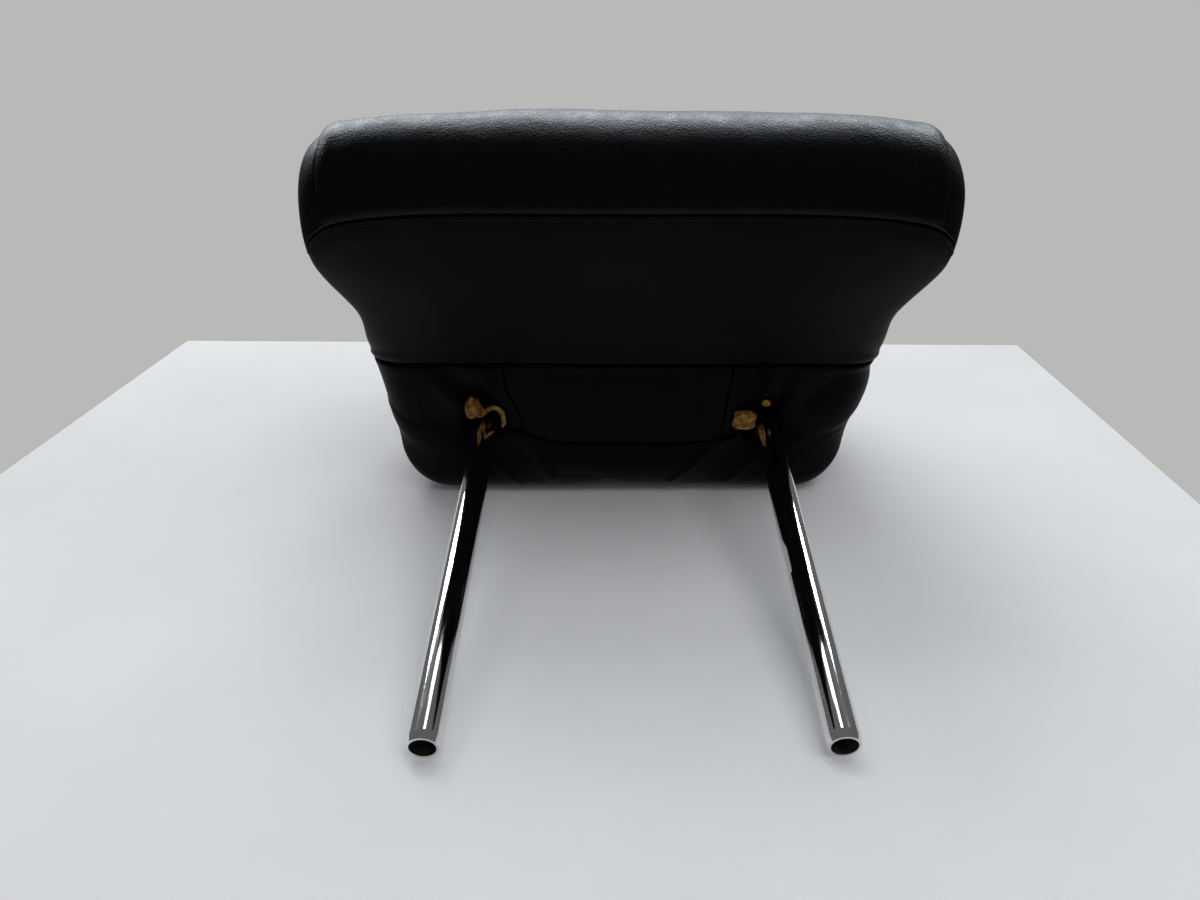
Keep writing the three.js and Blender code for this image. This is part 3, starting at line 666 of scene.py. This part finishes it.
def cover_back(material):
    """The back panel, with the flap's outline, the post openings and their slits cut out."""
    start, end = JOIN_ALONG - LOOP, SLIT_ALONG
    fine = [(-14, 20)]
    rows, row_depth = turned_in(fine_rows(start, end, 1.5, fine), SEAM_HALF_GAP, SLIT_HALF_GAP, 1.0)
    shares, side_depth = side_columns(170)
    along, across, depth = cover_sheet(rows, row_depth, shares, side_depth)
    x = broad_x(along, across)
    flap = np.concatenate([rounded(FLAP_LEFT, False, passes=4), rounded(FLAP_REAR, False, passes=8),
                           rounded(FLAP_RIGHT, False, passes=4), [(54, 60), (-61, 60)]])
    keep = np.ones(along.shape, bool)
    cuts = [(flap, 0.9, 1.0)]
    cuts += [(rounded(hole, True, passes=12), 1.6, 1.0) for hole in (LEFT_HOLE, RIGHT_HOLE)]
    cuts += [(capsule(*slit, SLIT_HALF), 1.2, 5.0) for slit in (LEFT_SLIT, RIGHT_SLIT)]
    flat = np.abs(across) <= 1
    for line, edge_round, steepness in cuts:
        low, high = line.min(axis=0) - 3, line.max(axis=0) + 3
        near = flat & (x > low[0]) & (x < high[0]) & (along > low[1]) & (along < high[1])
        near_x, near_y, distance = nearest_on(line, x[near], along[near])
        within = inside(line, x[near], along[near])
        fall = np.where(within, edge_round + distance * steepness, eased_edge(distance, edge_round))
        depth[near] = np.maximum(depth[near], np.minimum(fall, TURN_IN))
        x[near] = np.where(within, near_x, x[near])
        along[near] = np.where(within, near_y, along[near])
        gone = np.zeros(along.shape, bool)
        gone[near] = within & (distance * steepness > TURN_IN)
        keep &= ~gone
    across = np.where(flat, x / flat_half(along), across)
    return cover_mesh("back_cover", along, across, depth, material, keep.ravel())


def gusset(side, material):
    name = "left_side_cover" if side < 0 else "right_side_cover"
    seam = (SEAM_ALONG - 3, SEAM_ALONG + 5)
    rows = fine_rows(MARKS[0], MARKS[0] + LOOP, 2.2, [seam], 0.5)[:-1]
    shares, depths = turned_in(np.linspace(0, 1, 48), SEAM_HALF_GAP, 0, GUSSET_RUN)
    shares, depths = shares[:-2], depths[:-2]
    depths[-len(depths) // 2:] = 0
    along, share = np.meshgrid(rows, shares, indexing="ij")
    edge = panel_edge(along)
    across = edge + (3 - edge) * share * 0.999
    depths = depths + GUSSET_SINK * np.exp(-(shares * GUSSET_RUN / 8) ** 2)
    depth = np.tile(depths, (len(rows), 1))
    points = covered(along, side * across, depth)
    faces = grid_faces(len(rows), len(shares), wrap=True)
    if side < 0:
        faces = [face[::-1] for face in faces]
    return mesh_piece(name, points.reshape(-1, 3), faces, material)


def lump(centre, size, seed, roughness=0.07, squareness=1.0):
    """A torn lump of foam: an uneven, closed ball, or a block where the squareness is under 1."""
    rows, columns = 36, 52
    points, faces = [], []
    for i in range(rows + 1):
        polar = math.pi * i / rows
        ring = math.sin(polar)
        for angle in around(columns):
            ball = Vector((ring * math.cos(angle), ring * math.sin(angle), math.cos(polar)))
            rough = noise.noise(ball * 1.7 + Vector((seed, 0, 0)))
            rough += 0.4 * noise.noise(ball * 6 + Vector((0, seed, 0)))
            shaped = [math.copysign(abs(c) ** squareness, c) * s for c, s in zip(ball, size)]
            points.append(Vector(centre) + Vector(shaped) * (1 + 2 * roughness * rough))
    for i in range(rows):
        for j in range(columns):
            a, b = i * columns + j, i * columns + (j + 1) % columns
            faces.append((a, a + columns, b + columns, b))
    return points, faces


def around(sides):
    """Even angles round a ring."""
    return [2 * math.pi * j / sides for j in range(sides)]


def rod_faces(base, rings, sides):
    """The faces of a closed rod whose rings of points begin at a base."""
    faces = []
    for i in range(rings - 1):
        for j in range(sides):
            a, b = base + i * sides + j, base + i * sides + (j + 1) % sides
            faces.append((a, b, b + sides, a + sides))
    end = base + rings * sides
    return faces + [tuple(range(base, base + sides))[::-1], tuple(range(end - sides, end))]


def bent_bead(line, radius, seed):
    """A closed bead along a line, thinner at its ends."""
    sides, points = 14, []
    line = [Vector(p) for p in line]
    for i, point in enumerate(line):
        along = (line[min(i + 1, len(line) - 1)] - line[max(i - 1, 0)]).normalized()
        side = along.cross(Vector((0, 0, 1))).normalized()
        lift = side.cross(along)
        t = i / (len(line) - 1)
        here = radius * math.sqrt(max(0.02, 1 - (2 * t - 1) ** 6))
        for angle in around(sides):
            out = side * math.cos(angle) + lift * math.sin(angle)
            rough = noise.noise((point + out * 2) / 2 + Vector((seed, 0, 0)))
            points.append(point + out * here * (1 + 0.25 * rough))
    return points, rod_faces(0, len(line), sides)


def foam_piece(material, painted_shade):
    """The foam under the covers, with the torn lumps that show in the two post openings."""
    rows = fine_rows(MARKS[0], MARKS[0] + LOOP, 3.0)[:-1]
    shares = np.linspace(-1, 1, 120) * 2.999
    along, across = np.meshgrid(rows, shares, indexing="ij")
    points = skin(along, across, np.full(along.shape, FOAM_DEPTH))
    off = (np.abs(broad_x(along, across)) - POST_X) ** 2 + along ** 2
    points[..., 2] += CAVITY_DEPTH * np.exp(-off / CAVITY_SPREAD ** 2) * (np.abs(across) < 1)
    points = list(map(tuple, points.reshape(-1, 3)))
    faces = grid_faces(len(rows), len(shares), wrap=True)
    columns = len(shares)
    faces.append(tuple(i * columns for i in range(len(rows))))
    faces.append(tuple(i * columns + columns - 1 for i in range(len(rows)))[::-1])
    arch = [
        (-70.0, 11.6), (-68.2, 13.7), (-65.8, 14.7), (-63.4, 13.8),
        (-61.7, 11.4), (-61.0, 8.4), (-61.0, 5.0), (-62.3, 1.9),
    ]
    parts = [
        lump((-76.2, -14.6, 184.6), (3.9, 5.4, 4.6), 1.3, 0.12),
        lump((-72.8, -11.0, 186.0), (3.0, 3.0, 3.0), 4.1, 0.12),
        bent_bead([(x, -reach, 184.5) for x, reach in arch], 1.2, 2.2),
        lump((61.6, -6.4, 184.6), (5.5, 4.4, 3.4), 7.9, 0.07, 0.5),
        lump((71.9, -15.4, 186.5), (2.2, 1.7, 1.8), 8.8, 0.12),
    ]
    for more, more_faces in parts:
        base = len(points)
        points += [tuple(p) for p in more]
        faces += [tuple(base + k for k in face) for face in more_faces]
    piece = mesh_piece("foam_pad", points, faces, material)
    piece.data.materials.append(painted_shade)
    # faces in the hollows round the posts take the darker copy of the foam, painted shade in these
    # recesses
    in_cavity = off.ravel() < (1.5 * CAVITY_SPREAD) ** 2
    for face in piece.data.polygons:
        if len(face.vertices) == 4 and all(v < len(in_cavity) and in_cavity[v] for v in face.vertices):
            face.material_index = 1
    return piece


def post_loops():
    """Stations of the bent tube from one lower end to the other: place, direction, distance."""
    bar = UNDERSIDE + CROSS_BAR_HEIGHT
    stations = []
    heights = [0, 0.15, CHAMFER_LENGTH - 0.3, CHAMFER_LENGTH, CHAMFER_LENGTH + 0.4]
    notch_top = NOTCH_HEIGHT + NOTCH_LENGTH
    edges = [NOTCH_HEIGHT - 0.5, NOTCH_HEIGHT - 0.12, NOTCH_HEIGHT + 0.12, NOTCH_HEIGHT + 0.5]
    ramp = [notch_top + NOTCH_RAMP * i / 6 for i in range(7)]
    heights += list(np.arange(10, bar - POST_BEND_RADIUS, 6.0)) + edges + ramp
    heights = sorted(set(round(float(h), 3) for h in heights)) + [bar - POST_BEND_RADIUS]
    for z in heights:
        stations.append((Vector((-POST_X, 0, z)), Vector((0, 0, 1)), z))
    for i in range(1, 17):
        angle = math.pi / 2 * i / 16
        centre = Vector((-POST_X + POST_BEND_RADIUS, 0, bar - POST_BEND_RADIUS))
        offset = Vector((-math.cos(angle), 0, math.sin(angle))) * POST_BEND_RADIUS
        stations.append((centre + offset, Vector((math.sin(angle), 0, math.cos(angle))), bar))
    other = [(Vector((-p.x, p.y, p.z)), Vector((d.x, d.y, -d.z)), h) for p, d, h in reversed(stations)]
    return stations + other


def tube_ring(place, direction, radius):
    across = Vector((0, 1, 0))
    lift = direction.cross(across)
    return [place + (across * math.cos(angle) + lift * math.sin(angle)) * radius
            for angle in around(POST_SIDES)]


def notch_floor(z):
    """How deep the locking notch is at a height."""
    if z < NOTCH_HEIGHT:
        return 0
    over = max(0, z - NOTCH_HEIGHT - NOTCH_LENGTH)
    return max(0, NOTCH_DEPTH * (1 - over / NOTCH_RAMP))


def leaned(p):
    """A point of the frame, with the posts as far out of true as they are."""
    rise = min(p.z / UNDERSIDE, 1)
    if p.x < 0:
        return Vector((p.x + LEFT_POST_LEAN * rise * min(-p.x / POST_X, 1), p.y, p.z))
    return Vector((p.x - RIGHT_POST_LEAN * (1 - rise), p.y, p.z))


def chrome_frame(chrome, bore):
    rim = POST_RADIUS - CHAMFER_DEPTH
    loops = []
    stations = post_loops()
    for place, direction, height in stations:
        radius = mix(rim, POST_RADIUS, min(height / CHAMFER_LENGTH, 1))
        ring = tube_ring(place, direction, radius)
        depth = notch_floor(place.z) if place.x > 0 and abs(direction.z) > 0.99 else 0
        if depth > 0:
            floor = POST_X - POST_RADIUS + depth
            ring = [Vector((max(p.x, floor), p.y, p.z)) for p in ring]
        loops.append(ring)
    for place, direction, height in reversed(stations):
        radius = POST_BORE if height > 1.2 else mix(rim - RIM_WALL, POST_BORE, height / 1.2)
        loops.append(tube_ring(place, direction, radius))
    points = [leaned(p) for ring in loops for p in ring]
    faces = []
    for i in range(len(loops)):
        after = (i + 1) % len(loops)
        for j in range(POST_SIDES):
            k = (j + 1) % POST_SIDES
            a, b = i * POST_SIDES, after * POST_SIDES
            faces.append((a + j, a + k, b + k, b + j))
    piece = mesh_piece("chrome_post_frame", points, faces, chrome)
    piece.data.materials.append(bore)
    outer_faces = (len(stations) - 1) * POST_SIDES
    for face in piece.data.polygons:
        if face.index < outer_faces:
            continue
        if outer_faces + POST_SIDES <= face.index < len(faces) - POST_SIDES:
            face.material_index = 1
        else:
            face.use_smooth = False
    return piece


def stitches(name, line, pitch, length, radius, material):
    """Thread stitches along a line of points with their outward directions."""
    points, faces = [], []
    sides, rings = 8, 7
    travelled, target = 0.0, pitch / 2
    for (a, out), (b, _) in zip(line, line[1:]):
        step = (b - a).length
        while step > 0 and travelled + step >= target:
            centre = a + (b - a) * ((target - travelled) / step)
            heading = (b - a).normalized()
            side = heading.cross(out).normalized()
            base = len(points)
            for i in range(rings):
                t = i / (rings - 1) * 2 - 1
                here = radius * math.sqrt(max(0.03, 1 - abs(t) ** 3))
                middle = centre + heading * (t * length / 2) + out * (radius * 0.5 * (1 - t * t))
                for angle in around(sides):
                    points.append(middle + (side * math.cos(angle) + out * math.sin(angle)) * here)
            faces += rod_faces(base, rings, sides)
            target += pitch
        travelled += step
    return mesh_piece(name, points, faces, material)


def seam_line(along, across, depth):
    """Points on the covers with their outward directions."""
    outer = covered(along, across, depth - 1.0)
    inner = covered(along, across, depth)
    return [(Vector(b), (Vector(a) - Vector(b)).normalized()) for a, b in zip(outer, inner)]


def seam_threads(material):
    across = np.linspace(-1.6, 1.6, STITCH_ROW)
    along = np.full(STITCH_ROW, SEAM_ALONG - CHIN_STITCH_INSET)
    made = [stitches("chin_seam_thread", seam_line(along, across, np.full(STITCH_ROW, 0.05)),
                     *CHIN_STITCH, material)]
    flap_sides = (("flap_left_thread", FLAP_LEFT, FLAP_STITCH_INSET),
                  ("flap_right_thread", FLAP_RIGHT, -FLAP_STITCH_INSET))
    for name, points, inset in flap_sides:
        line = rounded(points, False, passes=4)
        line = line[line[:, 1] < SLIT_ALONG - 2]
        x, along = line[:, 0] + inset, line[:, 1]
        seam = seam_line(along, x / flat_half(along), np.zeros(len(x)))
        made.append(stitches(name, seam, *FLAP_STITCH, material))
    return made


# Materials
def add_node(tree, kind, inputs=None, **settings):
    """A new shader node. Each input is set to a value, or linked to another node's output."""
    node = tree.nodes.new("ShaderNode" + kind)
    for name, value in settings.items():
        setattr(node, name, value)
    for key, value in (inputs or {}).items():
        if isinstance(value, bpy.types.NodeSocket):
            tree.links.new(value, node.inputs[key])
        else:
            node.inputs[key].default_value = value
    return node


class Finish:
    """A material being made, with its patterns in the piece's own coordinates, in metres."""

    def __init__(self, name, stretch=(1, 1, 1)):
        self.material = material_of(name)
        self.material.use_nodes = True
        self.tree = self.material.node_tree
        self.tree.nodes.clear()
        self.output = self.add("OutputMaterial")
        self.vector = self.stretched(*stretch)

    def add(self, kind, inputs=None, **settings):
        return add_node(self.tree, kind, inputs, **settings)

    def stretched(self, *scale):
        place = self.add("TexCoord").outputs["Object"]
        return self.add("Mapping", {"Vector": place, "Scale": scale}).outputs["Vector"]

    def warped(self, scale, amount):
        """Coordinates pushed about by noise."""
        push = self.add("TexNoise", {"Vector": self.vector, "Scale": scale}).outputs["Color"]
        return self.add("VectorMath", {0: push, 1: (amount,) * 3, 2: self.vector},
                        operation="MULTIPLY_ADD").outputs[0]

    def noise(self, scale, detail=4.0, roughness=0.55, vector=None):
        return self.add("TexNoise", {"Vector": vector or self.vector, "Scale": scale,
                                     "Detail": detail, "Roughness": roughness}).outputs["Fac"]

    def cells(self, scale, vector=None, feature="F1"):
        return self.add("TexVoronoi", {"Vector": vector or self.vector, "Scale": scale},
                        feature=feature).outputs["Distance"]

    def tones(self, value, *stops):
        node = self.add("ValToRGB", {"Fac": value})
        elements = node.color_ramp.elements
        while len(elements) < len(stops):
            elements.new(0.5)
        for element, (position, color) in zip(elements, stops):
            element.position = position
            element.color = (*color, 1)
        return node.outputs["Color"]

    def remap(self, value, low, high, to_low, to_high):
        return self.add("MapRange", {"Value": value, "From Min": low, "From Max": high,
                                     "To Min": to_low, "To Max": to_high}).outputs["Result"]

    def bump(self, height, strength, distance, before=None):
        inputs = {"Strength": strength, "Distance": distance, "Height": height}
        if before is not None:
            inputs["Normal"] = before
        return self.add("Bump", inputs).outputs["Normal"]

    def finished(self, shown):
        self.tree.links.new(shown.outputs[0], self.output.inputs["Surface"])
        return self.material

    def shaded(self, color, roughness, normal, metallic=0.0, specular=0.5):
        return self.finished(self.add("BsdfPrincipled", {
            "Base Color": color, "Roughness": roughness, "Normal": normal,
            "Metallic": metallic, "Specular IOR Level": specular}))


def leather():
    made = Finish("leather")
    tone = made.tones(made.noise(38, 3), (0.3, (0.0010, 0.0012, 0.0018)),
                      (0.7, (0.0018, 0.0020, 0.0028)))
    roughness = made.remap(made.noise(120, 4), 0.3, 0.7, 0.45, 0.57)
    creases = made.cells(95, made.warped(60, 0.012), "DISTANCE_TO_EDGE")
    soft = made.bump(made.noise(55, 3), 0.5, 0.0012)
    creased = made.bump(made.remap(creases, 0.0, 0.06, 0.0, 1.0), 0.08, 0.0002, soft)
    grained = made.bump(made.cells(1050, made.warped(500, 0.0006)), 0.5, 0.0002, creased)
    pored = made.bump(made.noise(1900, 2), 0.2, 0.00006, grained)
    return made.shaded(tone, roughness, pored, specular=0.06)


def vinyl():
    made = Finish("vinyl")
    tone = made.tones(made.noise(22, 4), (0.3, (0.0009, 0.0009, 0.0011)),
                      (0.7, (0.0016, 0.0016, 0.0019)))
    roughness = made.remap(made.noise(70, 5), 0.3, 0.7, 0.38, 0.48)
    soft = made.bump(made.noise(42, 3), 0.35, 0.0012)
    grained = made.bump(made.cells(1500, made.warped(700, 0.0004)), 0.18, 0.0001, soft)
    return made.shaded(tone, roughness, grained, specular=0.03)


def foam():
    made = Finish("foam")
    tone = made.tones(made.noise(260, 5, 0.6), (0.28, (0.03, 0.009, 0.001)),
                      (0.45, (0.11, 0.042, 0.004)), (0.6, (0.24, 0.110, 0.012)),
                      (0.78, (0.34, 0.20, 0.035)))
    lumps = made.bump(made.noise(420, 3), 0.7, 0.001)
    return made.shaded(tone, 0.95, made.bump(made.cells(1600), 0.7, 0.0004, lumps))


def shade_painted_foam():
    """A darker copy of the foam for the hollows round the posts: painted shade deep inside the post
    openings.
    """
    made = Finish("shade_painted_foam")
    mottle = made.noise(260, 5, 0.6)
    # tones far darker than the foam's own: painted shade
    tone = made.tones(mottle, (0.3, (0.002, 0.0014, 0.0008)), (0.75, (0.010, 0.006, 0.0025)))
    return made.shaded(tone, 0.95, made.bump(mottle, 0.8, 0.001), specular=0.1)


def chrome():
    made = Finish("chrome")
    tone = made.tones(made.noise(60, 4), (0.35, (0.70, 0.70, 0.71)), (0.65, (0.80, 0.81, 0.82)))
    smears = made.noise(420, 3, vector=made.stretched(1, 1, 0.12))
    scratches = made.noise(1600, 2, vector=made.stretched(1, 1, 0.03))
    return made.shaded(tone, made.remap(smears, 0.35, 0.75, 0.05, 0.13),
                       made.bump(scratches, 0.06, 0.00005), metallic=1.0)


def rusty_bore():
    made = Finish("rusty_bore")
    rust = made.noise(330, 5, 0.65)
    tone = made.tones(rust, (0.35, (0.006, 0.004, 0.003)), (0.55, (0.025, 0.013, 0.008)),
                      (0.75, (0.08, 0.042, 0.024)))
    return made.shaded(tone, 0.85, made.bump(rust, 0.8, 0.0006))


def plain_steel():
    made = Finish("plain_steel", (1, 1, 6))
    grain = made.noise(90, 5)
    tone = made.tones(grain, (0.3, (0.34, 0.34, 0.35)), (0.7, (0.5, 0.5, 0.51)))
    return made.shaded(tone, made.remap(grain, 0.3, 0.7, 0.32, 0.5),
                       made.bump(grain, 0.2, 0.0002), metallic=1.0)


def strip_plastic():
    made = Finish("strip_plastic", (0.1, 1, 1))
    grain = made.noise(300, 3)
    tone = made.tones(grain, (0.3, (0.012, 0.012, 0.012)), (0.7, (0.022, 0.022, 0.022)))
    return made.shaded(tone, made.remap(grain, 0.3, 0.7, 0.45, 0.6), made.bump(grain, 0.2, 0.0002))


def thread():
    made = Finish("thread")
    twist = made.noise(2600, 2)
    tone = made.tones(twist, (0.3, (0.002, 0.002, 0.0024)), (0.7, (0.006, 0.006, 0.007)))
    return made.shaded(tone, 0.6, made.bump(twist, 0.6, 0.0002), specular=0.05)


def board_material():
    """Pale board, seen from its upper side only, so that it never hides the headrest from behind."""
    made = Finish("pale_board")
    tone = made.tones(made.noise(9, 4), (0.3, (0.60, 0.61, 0.625)), (0.7, (0.64, 0.65, 0.66)))
    behind = made.add("NewGeometry").outputs["Backfacing"]
    shadow = made.add("LightPath").outputs["Is Shadow Ray"]
    either = made.add("Math", {0: behind, 1: shadow}, operation="MAXIMUM")
    board = made.add("BsdfDiffuse", {"Color": tone})
    clear = made.add("BsdfTransparent")
    return made.finished(made.add("MixShader", {
        "Fac": either.outputs[0], 1: board.outputs[0], 2: clear.outputs[0]}))


# The photograph's own directions: along the posts over the board, and up from the board
AWAY = Vector((0, math.sin(BOARD_LEAN), math.cos(BOARD_LEAN)))
RISE = Vector((0, -math.cos(BOARD_LEAN), math.sin(BOARD_LEAN)))
RIGHT = Vector((1, 0, 0))
BOARD_FOOT = Vector((0, BOARD_OFFSET, 0))


def on_board(x, away, rise=0.0):
    return BOARD_FOOT + RIGHT * x + AWAY * away + RISE * rise


def make_camera():
    data = bpy.data.cameras.new("camera")
    data.sensor_fit = "HORIZONTAL"
    data.sensor_width = SENSOR_WIDTH
    data.lens = PHOTO_FOCAL / PHOTO_WIDTH * SENSOR_WIDTH
    camera = bpy.data.objects.new("camera", data)
    bpy.context.scene.collection.objects.link(camera)
    place = on_board(CAMERA_SIDE, -CAMERA_BACK, CAMERA_HEIGHT) + Vector((0, 0, CAMERA_LIFT))
    ahead = AWAY * math.cos(CAMERA_PITCH) - RISE * math.sin(CAMERA_PITCH)
    up = RISE * math.cos(CAMERA_PITCH) + AWAY * math.sin(CAMERA_PITCH)
    side = RIGHT * math.cos(CAMERA_ROLL) + up * math.sin(CAMERA_ROLL)
    up = up * math.cos(CAMERA_ROLL) - RIGHT * math.sin(CAMERA_ROLL)
    turned = Matrix((side, up, -ahead)).transposed().to_4x4()
    camera.matrix_world = Matrix.Translation(place * MM) @ turned
    data.clip_start, data.clip_end = 0.01, 20
    bpy.context.scene.camera = camera


# The board's corners: x, and how far away they are
BOARD_CORNERS = [(-386, -420), (283, -420), (314.8, 420.7), (-341.8, 437.6)]


def make_stage():
    corners = [on_board(*corner) for corner in BOARD_CORNERS]
    board = mesh_piece("stage_board", corners, [(0, 1, 2, 3)], board_material(), flat=True)


def make_world():
    """One tone for the room's light, one for what metal mirrors and one for the wall behind."""
    world = bpy.data.worlds.new("room")
    bpy.context.scene.world = world
    world.use_nodes = True
    tree = world.node_tree
    tree.nodes.clear()
    path = add_node(tree, "LightPath").outputs
    mirrored, room, wall = (
        add_node(tree, "Background", {"Color": (*color, 1), "Strength": strength}).outputs[0]
        for color, strength in ((MIRRORED_TONE, 1.0), (ROOM_TONE, ROOM_STRENGTH), (WALL_TONE, 1.0)))
    lit = add_node(tree, "MixShader", {"Fac": path["Is Glossy Ray"], 1: room, 2: mirrored})
    shown = add_node(tree, "MixShader", {"Fac": path["Is Camera Ray"], 1: lit.outputs[0], 2: wall})
    add_node(tree, "OutputWorld", {"Surface": shown.outputs[0]})


def make_lamps():
    target = on_board(*LAMP_TARGET)
    for name, place, size, power, color, left_out in LAMPS:
        data = bpy.data.lights.new(name, "AREA")
        data.shape = "RECTANGLE"
        data.size, data.size_y = size
        data.energy = power
        data.color = color
        lamp = bpy.data.objects.new(name, data)
        bpy.context.scene.collection.objects.link(lamp)
        there = on_board(*place)
        lamp.location = there * MM
        lamp.rotation_euler = ((target - there) * MM).to_track_quat("-Z", "Y").to_euler()
        if left_out:
            setattr(lamp, "visible_" + left_out, False)


make_camera()
make_stage()
make_world()
make_lamps()

LEATHER, VINYL, FOAM = leather(), vinyl(), foam()
CHROME, BORE, STEEL, PLASTIC, THREAD = chrome(), rusty_bore(), plain_steel(), strip_plastic(), thread()

DRESSED = [
    (cover_front(LEATHER), "cover_front", "leather", 0.85),
    (gusset(-1, LEATHER), "cover_side_left", "leather", 0.85),
    (gusset(1, LEATHER), "cover_side_right", "leather", 0.85),
    (cover_chin(VINYL), "cover_chin", "vinyl", 0.85),
    (cover_flap(VINYL), "cover_flap", "vinyl", 0.8),
    (cover_back(VINYL), "cover_back", "vinyl", 0.8),
    (foam_piece(FOAM, shade_painted_foam()), "foam_core", "foam", 0.9),
]
for piece, node, slot, fill in DRESSED:
    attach(piece, "root")
    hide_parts(node)

posts = chrome_frame(CHROME, BORE)
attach(posts, "root")
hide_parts("post_frame")

for piece in seam_threads(THREAD):
    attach(piece, "root")

NODE_FINISHES = {
    "stiffener_plate": STEEL, "chin_hoop": STEEL,
    "chin_closure_hook": PLASTIC, "chin_closure_catch": PLASTIC,
    "rear_closure_hook": PLASTIC, "rear_closure_catch": PLASTIC,
}
for node, finish in NODE_FINISHES.items():
    shown = bpy.data.objects[node]
    for slot in shown.material_slots:
        slot.material = finish

bpy.context.scene.view_settings.view_transform = "Standard"
